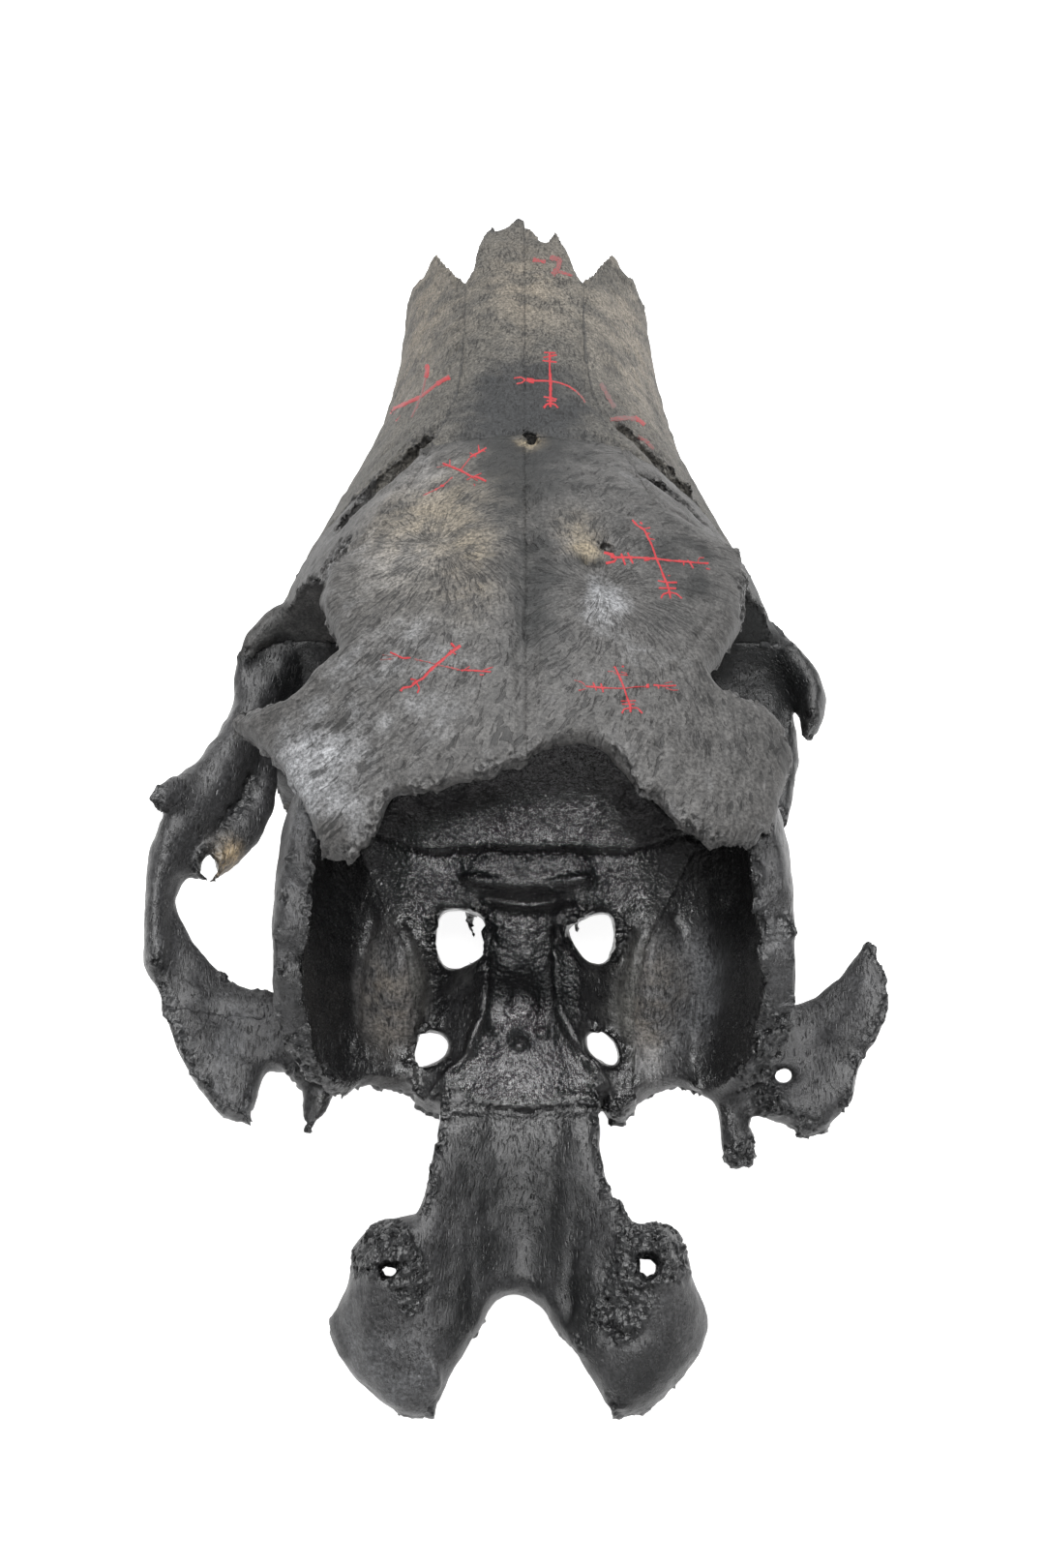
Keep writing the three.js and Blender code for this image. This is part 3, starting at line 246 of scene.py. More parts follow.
# The painted staves: a point on the bone, and the strokes drawn across it. Each stroke is
# its strength, its half width in mm and its points, one after the other: millimetres
# across and up from the stave's middle, in the plane that faces the drawing hand.
STAVES = {
    "nasal_tip": ((8, 287.1, 84.9), [
        (0.55, 0.64, -5.6, 1.9, -2.2, 1.3), (0.45, 0.89, -1, 2.5, 1.6, 1.9, 1.3, -0.3, -0.3, -2.2),
        (0.45, 0.45, 1.3, -1.3, 5.1, -2.5),
    ]),
    "nasal_middle": ((6.3, 224.4, 103.5), [
        (1, 0.41, -0.1, 7.1, -0.1, 3.1, 0.1, 0, 0.1, -3.3, 0.1, -6.5), (0.9, 0.23, -1.7, 5.8, 1.6, 6.5),
        (0.9, 0.23, -1.9, 5.1, 1.6, 4.7), (0.9, 0.23, -1.5, 7.1, 1.3, 7),
        (0.8, 0.23, 0.1, 0, 2.3, -0.4, 4.7, -1.3, 6.4, -2.5), (0.5, 0.23, 6.4, -2.5, 8.1, -4.2, 8.7, -5.4),
        (1, 0.23, 0.1, 0, -2, 0.1, -4.1, 0.1), (1, 0.58, -5.8, 0.4, -3.9, -0.1),
        (0.8, 0.23, -9, 0.7, -7.3, 1, -6.1, 0.3), (0.8, 0.23, -8.4, -0.7, -7, -0.4, -6.1, 0.3),
        (0.9, 0.26, -1.6, -3.9, 1.7, -4.5), (0.8, 0.23, -0.9, -4.9, 1.5, -4.9),
        (1, 0.32, -1.6, -6.7, -0.9, -5.8, 0.1, -5.5, 1.2, -5.8, 2, -6.7),
    ]),
    "frontal_right_front": ((28.7, 146.8, 126), [
        (1, 0.24, -5.3, 8.5, -4.2, 7.3, -2.7, 6.4, -2.1, 5.2, -1, 3, -0.3, 0.9, 0, 0),
        (0.8, 0.15, -2.7, 6.6, -1.4, 6.8), (1, 0.22, -3.6, 8, -3.1, 7.6), (0.8, 0.15, -2.4, 5.6, -1.4, 5.5),
        (0.8, 0.15, -1.8, 4.5, -0.4, 4.2),
        (1, 0.26, 0, 0, 0.8, -1.7, 1.6, -3.9, 2.4, -5.6, 2.9, -7.4, 3.1, -8.7),
        (1, 0.22, 0.3, -4.8, 2.5, -5.2, 4.5, -5.2), (1, 0.24, 0.5, -6.4, 4.3, -6.5),
        (0.9, 0.22, 1, -8.7, 1.4, -7.8, 2.9, -7.3), (1, 0.19, 2.9, -7.3, 4.5, -7.7, 5.6, -8.7),
        (0.8, 0.13, 2.5, -3.7, 3, -3.7), (1, 0.28, 0, 0, -3.1, 0.2, -5.7, 0.3, -8.3, 0.3, -10.1, 0.4),
        (1, 0.35, -11.5, 1.4, -9.6, 0.9, -9.2, 0), (1, 0.3, -11.1, -1, -9.2, -0.6, -8.8, 0),
        (1, 0.24, -6.3, 1.3, -5.1, -1.1), (1, 0.26, -7.7, 1.1, -6.8, -1.4),
        (1, 0.26, -2.7, -0.4, -1.4, -0.1), (1, 0.24, 0, 0, 2.9, -0.4, 6, -0.6, 9, -0.9, 11.4, -1),
        (0.9, 0.15, 5, -0.2, 5.1, -0.7), (1, 0.17, 6, -0.6, 6, -1.5),
        (1, 0.19, 6.8, -0.3, 7.5, -1.1, 8.1, -2.1), (0.7, 0.13, 9, -0.9, 9.4, 0.2, 10.4, 0.2),
        (0.9, 0.17, 10.9, -2.1, 11.7, -2.3),
    ]),
    "frontal_left_rear": ((-18.4, 110.9, 134), [
        (1, 0.34, 4.9, 3.9, 3.6, 3, 2.3, 2, 0.9, 0.7, 0, 0, -1.4, -1.2, -2.9, -2.9, -4.3, -3.6, -5, -4.1),
        (1, 0.27, 2.9, 4.4, 3.7, 3.6), (0.9, 0.18, 2.7, 3, 3.9, 2.1),
        (1, 0.27, -7.5, -5.5, -7, -4.8, -5.4, -4.6, -4.3, -3.6),
        (0.9, 0.2, -4.3, -3.6, -3.6, -4.8, -4, -5.9), (0.9, 0.18, -5.4, -3, -4.3, -3.2),
        (0.5, 0.16, 0, 0, -1.8, 0.5, -4.6, 1.1), (1, 0.21, -9.6, 2.5, -8.4, 2, -7.1, 1.3, -5.4, 1.4),
        (0.45, 0.12, -11.6, 1, -8.9, 1.2), (0.4, 0.11, -11.2, 2, -8.4, 1.6),
        (0.5, 0.21, 0, 0, 1.8, -0.4, 5, -1.2), (0.9, 0.21, 5, -1.2, 7.1, -1.2, 9.6, -1.4, 11.2, -1.5),
        (0.9, 0.14, 5.2, -1.4, 6.8, -0.4), (0.8, 0.18, 8.9, -2.1, 9.8, -2.1),
        (0.7, 0.14, 9.6, -1.2, 11.6, -0.5),
    ]),
    "frontal_right_rear": ((20.2, 105, 133.7), [
        (1, 0.25, -2, 4.5, -1.4, 3.3, -0.5, 1.3, 0, 0, 0.6, -2, 1.2, -3.5, 1.3, -4.9),
        (1, 0.25, -0.5, 4.5, -0.1, 4.5), (0.9, 0.16, -2.3, 4.4, -1.6, 4.2),
        (0.6, 0.11, -3.4, 3.5, -2.3, 3.5, -1.6, 2.9), (0.8, 0.12, -1.6, 2.9, 0.7, 2.7),
        (0.7, 0.11, -0.7, 3.4, 0.5, 3.1), (0.8, 0.14, -0.7, -2.6, 2.3, -2.5),
        (0.8, 0.14, -0.5, -3.2, 2.1, -3.2), (1, 0.21, -0.5, -5.1, 0, -4.2, 1.1, -4),
        (1, 0.18, 1.2, -4, 2.7, -4, 3.7, -5.1), (0.9, 0.16, 0, 0, -4.1, 0.1),
        (1, 0.25, -4.1, 0.1, -6.2, 0.3, -7.8, 0.4), (1, 0.2, -6.4, 1.2, -5.7, -0.4),
        (1, 0.2, -4.8, 1, -4.3, -0.8), (0.5, 0.12, -10.3, 1.7, -8.7, 1.3, -7.8, 0.4),
        (0.6, 0.14, -9.4, -0.4, -7.8, -0.1), (0.8, 0.16, 0, 0, 2.1, 0.3, 4.4, 0.4),
        (1, 0.39, 4.8, 0.9, 4.8, 0.1), (1, 0.21, 6, 0.7, 8.3, 0.5, 10.6, 0.6),
        (0.9, 0.18, 6.9, 0.6, 7.1, 0), (0.7, 0.11, 8.2, 1, 9.8, 1.4),
        (0.6, 0.12, 8.5, 0.1, 10.1, -0.4, 11.2, -0.3),
    ]),
    "frontal_left_front": ((-14.9, 180.3, 118.4), [
        (1, 0.27, -4.1, 1.5, -2.1, 0.7, 0, -0.1, 2.3, -1.4, 4.3, -1.8, 5.9, -2.6),
        (0.8, 0.18, -2.5, 2.3, -2.5, 0.7), (0.5, 0.11, -5.5, 0.6, -3.4, 0.9),
        (0.8, 0.11, 2.7, -1.6, 4.8, -0.8), (0.8, 0.11, 1.4, -2.3, 2.7, -1.6),
        (0.8, 0.3, 3.1, -3.5, 3.3, -3.4), (0.8, 0.16, 2.5, -1.6, 3.9, -2.5), (0.8, 0.14, 0, 0, 2.1, 2.7),
        (1, 0.27, 2.2, 3, 4.3, 4.1, 5.9, 5.1), (1, 0.23, 4.1, 5.7, 4.3, 4.1), (1, 0.18, 2.2, 3.9, 3.6, 3),
        (0.8, 0.14, 5.7, 4.2, 4.8, 4.6), (0.6, 0.14, -1.8, -1.6, -4.1, -3.6, -5.9, -4.6, -8.7, -5.9),
        (1, 0.27, -4.7, -3.7, -3.8, -3.6), (0.9, 0.21, -6, -4.6, -5.5, -4.4),
    ]),
    "maxilla_left": ((-26.3, 232.5, 90.8), [
        (0.75, 0.6, -8.9, -4.9, -7.7, -3.9, -5.2, -2.9, -2.4, -1.6, -0.6, -0.9),
        (0.6, 0.45, -0.6, -0.9, 1.4, 0.6, 3.9, 2.6), (0.75, 0.7, 3.9, 2.6, 5.7, 3.7, 7.2, 4.4),
        (0.7, 0.7, 1.4, 7.6, 1.5, 5.9, 1.1, 4.2), (0.4, 0.3, 1.1, 4.2, 0.4, 1.1, 0, 0),
        (0.35, 0.35, 0, 0, -1.1, -2.9, -2.6, -5.9),
    ]),
    "maxilla_right": ((25.6, 217.9, 97), [
        (0.25, 0.69, -6.6, 8.8, -5.5, 6.9, -4, 4.1, -3.1, 2.8),
        (0.35, 0.69, -4.3, -0.2, -2.5, 0, 0, 0.2, 2.2, 0), (0.6, 0.74, 1.7, 0.3, 3.1, -0.5, 4.3, -1.5),
        (0.35, 0.61, 2.5, -4.5, 4.5, -5.4, 6.5, -7.5),
    ]),
}


def linear(hex_colour):
    """An sRGB hex colour as linear red, green, blue and alpha."""
    values = [int(hex_colour[i : i + 2], 16) / 255 for i in (1, 3, 5)]
    return tuple(v / 12.92 if v <= 0.04045 else ((v + 0.055) / 1.055) ** 2.4 for v in values) + (1.0,)


def place(points):
    """Millimetres from the skull's own origin as metres in the model."""
    return (np.asarray(points, float) + ORIGIN_SHIFT) * MM


def ramp(values, start, end):
    """0 before start and 1 after end, with a smooth turn between them."""
    t = np.clip((values - start) / (end - start), 0.0, 1.0)
    return t * t * (3 - 2 * t)


def lattice(x, y, z, seed):
    """Repeatable numbers from 0 to 1, one for each whole-number place."""
    n = (x * 374761393 + y * 668265263 + z * 1274126177 + seed * 1103515245) & 0xFFFFFFFF
    n = ((n ^ (n >> 13)) * 1274126177) & 0xFFFFFFFF
    n = ((n ^ (n >> 16)) * 668265263) & 0xFFFFFFFF
    return ((n ^ (n >> 15)) & 0xFFFFFF) / 0xFFFFFF


def lumps(points, size, seed):
    """Smooth noise from -1 to 1 whose lumps are about size across."""
    scaled = points / size
    base = np.floor(scaled).astype(np.int64)
    part = scaled - base
    part = part * part * part * (part * (part * 6 - 15) + 10)
    total = np.zeros(len(points))
    for corner in range(8):
        step = (corner & 1, corner >> 1 & 1, corner >> 2 & 1)
        weight = np.ones(len(points))
        for axis in range(3):
            weight *= part[:, axis] if step[axis] else 1 - part[:, axis]
        total += weight * lattice(*(base[:, axis] + step[axis] for axis in range(3)), seed)
    return total * 2 - 1


def layered(points, size, seed, layers):
    """Noise from -1 to 1 with finer lumps laid over coarse ones."""
    total = np.zeros(len(points))
    strength = 1.0
    for layer in range(layers):
        total += strength * lumps(points, size / 2**layer, seed + layer)
        strength /= 2
    return total / (2 - 2 * strength)


def pores(points, size, seed):
    """1 in the middle of scattered pores and 0 between them; size is from pore to pore."""
    scaled = points / size
    base = np.floor(scaled).astype(np.int64)
    nearest = np.full(len(points), 9.0)
    for step in np.ndindex(3, 3, 3):
        cell = base + step - 1
        away = np.zeros(len(points))
        for axis in range(3):
            jitter = lattice(*cell.T, seed + 7 * axis)
            away += (cell[:, axis] + jitter - scaled[:, axis]) ** 2
        nearest = np.minimum(nearest, away)
    return 1 - ramp(np.sqrt(nearest), 0.2, 0.52)


def triangles_of(node):
    """A CAD node's corners in metres and its triangles."""
    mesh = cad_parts[node].data
    faces = np.empty(len(mesh.polygons) * 3, np.int32)
    mesh.polygons.foreach_get("vertices", faces)
    return vectors_of(mesh.vertices, "co"), faces.reshape(-1, 3)


def bones_around(node):
    """A search tree of every other bone."""
    corners, faces, count = [], [], 0
    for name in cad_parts:
        if name != node:
            points, triangles = triangles_of(name)
            corners.append(points)
            faces.append(triangles + count)
            count += len(points)
    return BVHTree.FromPolygons(np.concatenate(corners).tolist(), np.concatenate(faces).tolist())


def seam_closeness(metres, node, reach):
    """1 where another bone lies against this one and 0 from reach mm away, the way to
    that bone's surface in mm, and its direction."""
    around = bones_around(node)
    limit = reach * MM
    gaps = np.full(len(metres), reach)
    way = np.zeros((len(metres), 3))
    for index, point in enumerate(metres.tolist()):
        spot, _normal, _face, gap = around.find_nearest(point, limit)
        if spot is not None and gap > 0:
            gaps[index] = gap / MM
            way[index] = (spot - Vector(point)) / gap
    return 1 - ramp(gaps, SEAM_TOUCH, reach), way * gaps[:, None], way


def broken_closeness(metres, points, moved, seam, props):
    """1 on edges where bone broke away, falling to 0 over the spongy zone beside them."""
    sharp = moved > props.edge_low * EDGE_TIMES
    edge = np.flatnonzero(sharp & (seam < EDGE_SEAM) & (points[:, 2] > BROKEN_FLOOR))
    if not len(edge):
        return np.zeros(len(metres))
    tree = KDTree(len(edge))
    for index, spot in zip(edge.tolist(), metres[edge].tolist()):
        tree.insert(spot, index)
    tree.balance()
    away = np.array([tree.find(point)[2] for point in metres.tolist()]) / MM
    reach = props.spongy_reach * (1.1 + layered(points, ZONE_SIZE, ZONE_SEED, 2))
    return props.edge_share * (1 - ramp(away / np.maximum(reach, 0.5), 0.35, 1.0))


def patches(points, table):
    """The sum of listed soft patches at each point, in skull millimetres."""
    total = np.zeros(len(points))
    for centre, reach, amount in table.values():
        away = ((points - centre) / reach) ** 2
        total += amount * np.exp(-1.2 * away.sum(axis=1))
    return total


def ridges(points):
    """Height of the ridges and grooves at each point, in mm."""
    height = np.zeros(len(points))
    for line, half_width, rise in RIDGES.values():
        corners = np.array(line, float)
        nearest = np.full(len(points), 99.0)
        for a, b in zip(corners, corners[1:]):
            along = b - a
            t = np.clip((points - a) @ along / (along @ along), 0, 1)
            nearest = np.minimum(nearest, np.linalg.norm(points - a - t[:, None] * along, axis=1))
        height += rise * np.exp(-((nearest / half_width) ** 2))
    return height


def grain_places(points, node, sway):
    """Where the grain pattern is read, in metres: drawn out along the bone, or spreading
    and turning from a frontal bone's middle."""
    if node not in GRAIN_MIDDLES:
        return (points + STREAK_SWAY * sway) * (1.0, STREAK_WIDTH, 1.0) * MM
    offset = points[:, :2] - GRAIN_MIDDLES[node] + RAY_SWAY * sway[:, :2]
    radius = np.linalg.norm(offset, axis=1)
    angle = np.arctan2(offset[:, 1], offset[:, 0]) + RAY_TURN * radius
    round_drum = (RAY_DRUM * np.cos(angle), RAY_DRUM * np.sin(angle))
    return np.stack([*round_drum, STREAK_WIDTH * radius], axis=1) * MM


def inside_braincase(points, normals):
    """1 on the glossy inner faces of the braincase and its floor, 0 outside."""
    inward = CASE_MIDDLE - points
    inward /= np.linalg.norm(inward, axis=1)[:, None]
    facing = ramp((normals * inward).sum(axis=1), *CASE_FACING)
    along = ramp(points[:, 1], *CASE_REAR) * (1 - ramp(points[:, 1], *CASE_FRONT))
    across = 1 - ramp(np.abs(points[:, 0] - CASE_MIDDLE[0]), *CASE_SIDES)
    return facing * along * across * (1 - ramp(points[:, 2], *CASE_TOP))


def vectors_of(items, name):
    """One vector of each item, such as its place or its normal, as rows."""
    values = np.empty(len(items) * 3)
    items.foreach_get(name, values)
    return values.reshape(-1, 3)


def set_coordinates(mesh, points):
    mesh.vertices.foreach_set("co", points.ravel())
    mesh.update()


def set_values(mesh, name, values):
    """Lets the mesh carry a number or a vector at each of its points."""
    kind, part = ("FLOAT", "value") if values.ndim == 1 else ("FLOAT_VECTOR", "vector")
    attribute = mesh.attributes.new(name, kind, "POINT")
    attribute.data.foreach_set(part, values.astype(np.float32).ravel())


def evaluated_mesh(obj):
    """The object's mesh with its modifiers worked out, as a new plain mesh."""
    bpy.context.view_layer.update()
    depsgraph = bpy.context.evaluated_depsgraph_get()
    return bpy.data.meshes.new_from_object(obj.evaluated_get(depsgraph))


def add_object(name, data):
    """A new object in the scene."""
    obj = bpy.data.objects.new(name, data)
    bpy.context.scene.collection.objects.link(obj)
    return obj


def merged_copy(node):
    """A new object with a copy of a CAD node's mesh, its loose triangles joined."""
    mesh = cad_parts[node].data.copy()
    work = bmesh.new()
    work.from_mesh(mesh)
    bmesh.ops.remove_doubles(work, verts=work.verts, dist=2e-6)
    work.to_mesh(mesh)
    work.free()
    mesh.materials.clear()
    return add_object(node + "_bone", mesh)


def evened_mesh(obj, props):
    """The bone as an even net of small faces, flats smoothed and edges kept, and how far
    in mm the full smoothing would have moved each point."""
    remesh = obj.modifiers.new("even net", "REMESH")
    remesh.mode = "VOXEL"
    remesh.voxel_size = (props.jaw_net if obj.name.startswith("maxilla") else props.net) * MM
    soften = obj.modifiers.new("soften", "SMOOTH")
    soften.factor = 0.5
    soften.iterations = props.edge_passes
    light = evaluated_mesh(obj)
    soften.iterations = props.flat_passes
    heavy = evaluated_mesh(obj)
    sharp, flat = (vectors_of(mesh.vertices, "co") for mesh in (light, heavy))
    moved = np.linalg.norm(flat - sharp, axis=1) / MM
    keep_flat = 1 - ramp(moved, props.edge_low, props.edge_high)
    tips = ramp(sharp[:, 1] / MM - ORIGIN_SHIFT[1], *ROUND_TIPS)
    keep_flat = np.maximum(keep_flat, props.tip_rounding * tips)
    set_coordinates(light, sharp + (flat - sharp) * keep_flat[:, None])
    bpy.data.meshes.remove(heavy)
    obj.modifiers.clear()
    return light, moved


def weather(mesh, moved, node, props, lap):
    """Gives an even mesh its wandering sutures, lumps, grain and spongy broken edges. At
    a suture the bone is led to the middle of the gap and lap mm further, so it closes."""
    metres = vectors_of(mesh.vertices, "co")
    points = metres / MM - ORIGIN_SHIFT
    seam, way, toward = seam_closeness(metres, node, props.seam_reach)
    broken = broken_closeness(metres, points, moved, seam, props)
    ragged = patches(points, SPONGY_PATCHES) + 0.2 * layered(points, PATCH_SIZE, PATCH_SEED, 2)
    broken = np.maximum(broken, ramp(ragged, 0.35, 0.6) * (1 - seam))
    broken *= 1 - 0.95 * ramp(points[:, 1], *SMOOTH_SNOUT)
    sway, jags = (
        np.stack([layered(points, size, seed + axis, 2) for axis in range(3)], axis=1)
        for size, seed in ((props.sway_size, SWAY_SEED), (JAG_SIZE, JAG_SEED))
    )
    points += (way / 2 + toward * lap) * seam[:, None]
    points += sway * (props.sway + props.broken_sway * broken)[:, None]
    points += jags * (props.jags * broken)[:, None]
    set_coordinates(mesh, place(points))
    normals = vectors_of(mesh.vertex_normals, "vector")

    rise = props.relief * layered(points, props.relief_size, RELIEF_SEED, 3)
    grain_points = points * (1.0, props.grain_stretch, 1.0) + 3.0 * sway
    rise += props.grain * layered(grain_points, props.grain_size, GRAIN_SEED, 2)
    upward = ramp(normals[:, 2], 0.0, 0.5)
    rise += upward * (ridges(points) + patches(points, SWELLINGS))
    inner = inside_braincase(points, normals)
    crown = np.zeros(len(points))
    if node.startswith("maxilla"):
        crown = 1 - ramp(points[:, 2], *TOOTH_CROWNS)
    hollow = broken * pores(points + sway, props.pit_spacing, PIT_SEED)
    rise -= props.pit_depth * hollow
    rise *= 1 - 0.75 * crown
    rise += seam * (props.seam_swell - rise)
    points += normals * rise[:, None]
    points[:, 2] = np.maximum(points[:, 2], 0.0)
    set_coordinates(mesh, place(points))

    for name, values in {
        "broken": broken,
        "inside": inner,
        "crown": crown,
        "seam": seam,
        "tone": np.clip(patches(points, TONE_PATCHES), -1.2, 1.2),
        "warm": np.clip(patches(points, WARM_PATCHES), 0, 1),
        "hollow": hollow,
    }.items():
        set_values(mesh, name, values)
    set_values(mesh, "grain_at", grain_places(points, node, sway))


def finish_bones(props, nodes, slot, lap, *look, **dirt):
    """Replaces each CAD node with its weathered bone, in place. The bones share one
    material, which look and dirt describe."""
    material = bone_material(props, *look, **dirt)
    for node in nodes:
        obj = merged_copy(node)
        mesh, moved = evened_mesh(obj, props)
        weather(mesh, moved, node, props, lap)
        rough = obj.data
        obj.data = mesh
        mesh.name = obj.name
        bpy.data.meshes.remove(rough)
        mesh.materials.append(material)
        mesh.shade_smooth()
        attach(obj, "root")
        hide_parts(node)


def add_node(tree, kind, settings=None, inputs=None, links=None):
    """Adds one node, sets its properties and input values, and links its inputs."""
    node = tree.nodes.new(kind)
    for name, value in (settings or {}).items():
        setattr(node, name, value)
    for name, value in (inputs or {}).items():
        node.inputs[name].default_value = value
    for name, source in (links or {}).items():
        tree.links.new(source, node.inputs[name])
    return node


def feed(socket, value):
    """Gives an input a link, a hex colour or a number."""
    if isinstance(value, bpy.types.NodeSocket):
        socket.id_data.links.new(value, socket)
    else:
        socket.default_value = linear(value) if isinstance(value, str) else value


def maths(operation, first, *others):
    """One sum on an output socket and more sockets or numbers."""
    node = add_node(first.id_data, "ShaderNodeMath", {"operation": operation})
    for socket, value in zip(node.inputs, (first, *others)):
        feed(socket, value)
    return node.outputs[0]


def times(first, second):
    return maths("MULTIPLY", first, second)


def plus(first, second):
    return maths("ADD", first, second)


def vector_maths(operation, first, second, output="Vector"):
    """One sum on two vectors, or on a vector and the number that scales it."""
    node = add_node(first.id_data, "ShaderNodeVectorMath", {"operation": operation}, None, {0: first})
    feed(node.inputs["Scale" if operation == "SCALE" else 1], second)
    return node.outputs[output]


def mix_colour(factor, first, second):
    """A mix of two colours, each a hex string or an output socket."""
    node = add_node(factor.id_data, "ShaderNodeMix", {"data_type": "RGBA"})
    for index, value in ((0, factor), (6, first), (7, second)):
        feed(node.inputs[index], value)
    return node.outputs[2]


def spread(value, low, high, new_low=0.0, new_high=1.0):
    """Maps low..high to new_low..new_high with a smooth turn at both ends."""
    limits = {"From Min": low, "From Max": high, "To Min": new_low, "To Max": new_high}
    settings = {"interpolation_type": "SMOOTHSTEP"}
    node = add_node(value.id_data, "ShaderNodeMapRange", settings, limits, {"Value": value})
    return node.outputs["Result"]


def carried(tree, name, output="Fac"):
    """A value that the mesh carries at each of its points."""
    return add_node(tree, "ShaderNodeAttribute", {"attribute_name": name}).outputs[output]


def noise(where, size, detail, roughness=0.5, distortion=0.0):
    """Cloudy noise with lumps about size mm across."""
    inputs = {"Scale": 1 / (size * MM), "Detail": detail, "Roughness": roughness, "Distortion": distortion}
    return add_node(where.id_data, "ShaderNodeTexNoise", None, inputs, {"Vector": where}).outputs["Fac"]


def cells(where, spacing):
    """How far the nearest of many scattered points is; they are about spacing mm apart."""
    node = add_node(
        where.id_data, "ShaderNodeTexVoronoi", None, {"Scale": 1 / (spacing * MM)}, {"Vector": where}
    )
    return node.outputs["Distance"]


def bump(height, strength, distance):
    """The normal of a fine relief; distance is in mm."""
    inputs = {"Strength": strength, "Distance": distance * MM}
    return add_node(height.id_data, "ShaderNodeBump", None, inputs, {"Height": height}).outputs["Normal"]


def new_material(name):
    """An empty material and its node tree."""
    material = bpy.data.materials.new(name)
    material.use_nodes = True
    material.node_tree.nodes.clear()
    return material, material.node_tree


def add_surface(tree, inputs, links=None):
    """The material's principled shader, joined to its output."""
    shader = add_node(tree, "ShaderNodeBsdfPrincipled", None, inputs, links)
    add_node(tree, "ShaderNodeOutputMaterial", None, None, {"Surface": shader.outputs["BSDF"]})


def bone_material(props, name, colours, roughness, seam_dirt=0.12, broken_dirt=0.45, wetness=0.0):
    """Charred and weathered compact bone: a fine mineral surface, matt and softly mottled,
    with streaky grain along the bone, black spongy bone where it broke, and a wet-looking
    black crust inside the braincase. Lumps of mottling are 9 mm, grain lines 0.6 mm and
    the grooves between them 0.55 mm wide, vessel pores 0.8 mm apart, the crust's wrinkles
    1.5 mm and the crumbs of spongy bone 1.3 mm across."""
    material, tree = new_material(name)
    ground, pale, dark, tan = colours
    solid = add_node(tree, "ShaderNodeTexCoord").outputs["Object"]
    along = carried(tree, "grain_at", "Vector")
    tone_at, warm_at, broken, inside, crown, hollow, seam = (
        carried(tree, key) for key in ("tone", "warm", "broken", "inside", "crown", "hollow", "seam")
    )
    mottle = noise(solid, 9, 6.0, 0.62)
    speckle = noise(solid, 0.75, 4.0, 0.75)
    wrinkles = noise(solid, 1.5, 3.0, 0.6, 1.0)
    crumbs = cells(solid, 1.3)
    grain = noise(along, 0.6, 4.0, 0.65, 0.2)
    grooves = noise(along, 0.55, 2.0, 0.5, 0.5)
    vessel = cells(along, 0.8)

    # The tone patches carry painted shade in the orbits and between the occipital lobes, and a painted sheen
    # in the basin, besides the bone's own tone.
    tone = plus(tone_at, maths("MULTIPLY_ADD", mottle, 1.7, -0.85))
    colour = mix_colour(spread(tone, 0.0, 1.0), ground, pale)
    colour = mix_colour(spread(tone, -0.05, -0.9), colour, dark)
    warm = times(warm_at, spread(mottle, 0.38, 0.6, 0.25, 1.0))
    colour = mix_colour(warm, colour, tan)
    streaks = spread(grain, 0.36, 0.64, 0.76, 1.24)
    speckles = spread(speckle, 0.34, 0.66, 0.42, 1.6)
    patchy = spread(mottle, 0.36, 0.62, -0.06, 0.06)
    grooved = spread(plus(grooves, patchy), 0.35, 0.42, 0.4, 1.05)
    shade = times(times(streaks, speckles), grooved)
    colour = vector_maths("SCALE", colour, shade)
    crust = times(inside, spread(tone_at, 0.75, 0.05, 0.12, 1.0))
    for amount, stain in (
        (times(broken, broken_dirt), props.charcoal_hex),
        (times(broken, spread(crumbs, 0.42, 0.2, 0.0, 0.9)), props.crust_hex),
        (times(hollow, 0.9), props.crust_hex),
        (times(spread(seam, 0.5, 1.0), seam_dirt), props.charcoal_hex),
        (crust, props.crust_hex),
        (times(crown, 0.8), props.enamel_hex),
    ):
        colour = mix_colour(amount, colour, stain)

    rough = maths("MULTIPLY_ADD", speckle, 0.3, roughness - 0.15)
    for amount, polish in ((crust, 0.2), (crown, 0.25), (broken, 0.15)):
        rough = maths("SUBTRACT", rough, times(amount, polish))

    height = plus(times(grain, 0.35), times(speckle, 0.5))
    height = plus(height, spread(vessel, 0.05, 0.3, -0.5, 0.0))
    height = plus(height, times(grooved, 0.6))
    height = times(height, maths("MULTIPLY_ADD", inside, -0.3, 1.0))
    height = plus(height, times(times(crumbs, broken), 2.2))
    wrinkled = times(plus(times(wrinkles, 2.4), crumbs), crust)
    height = plus(height, times(wrinkled, 0.5))
    relief = bump(height, 0.8, 0.4)
    add_surface(
        tree,
        {"IOR": 1.5, "Specular IOR Level": 0.45, "Coat Roughness": 0.13},
        {
            "Base Color": colour,
            "Roughness": maths("MAXIMUM", rough, 0.18),
            "Normal": relief,
            "Coat Weight": maths("MULTIPLY_ADD", crust, 0.6, wetness),
            "Coat Normal": relief,
        },
    )
    return material


def paint_material(props):
    """Matt artist's acrylic put on with a fine dry brush: an opaque red film that breaks
    up over the grain, so grey bone shows through in specks 0.3 mm across."""
    material, tree = new_material("red_acrylic_paint")
    specks = noise(add_node(tree, "ShaderNodeTexCoord").outputs["Object"], 0.3, 3.0, 0.6)
    covered = plus(carried(tree, "strength"), maths("MULTIPLY_ADD", specks, 2.2, -1.15))
    colour = mix_colour(spread(covered, 0.25, 0.75), props.worn_hex, props.red_hex)
    add_surface(
        tree,
        {"IOR": 1.48, "Roughness": 0.62, "Specular IOR Level": 0.4},
        {"Base Color": colour, "Normal": bump(specks, 0.3, 0.1)},
    )
    return material


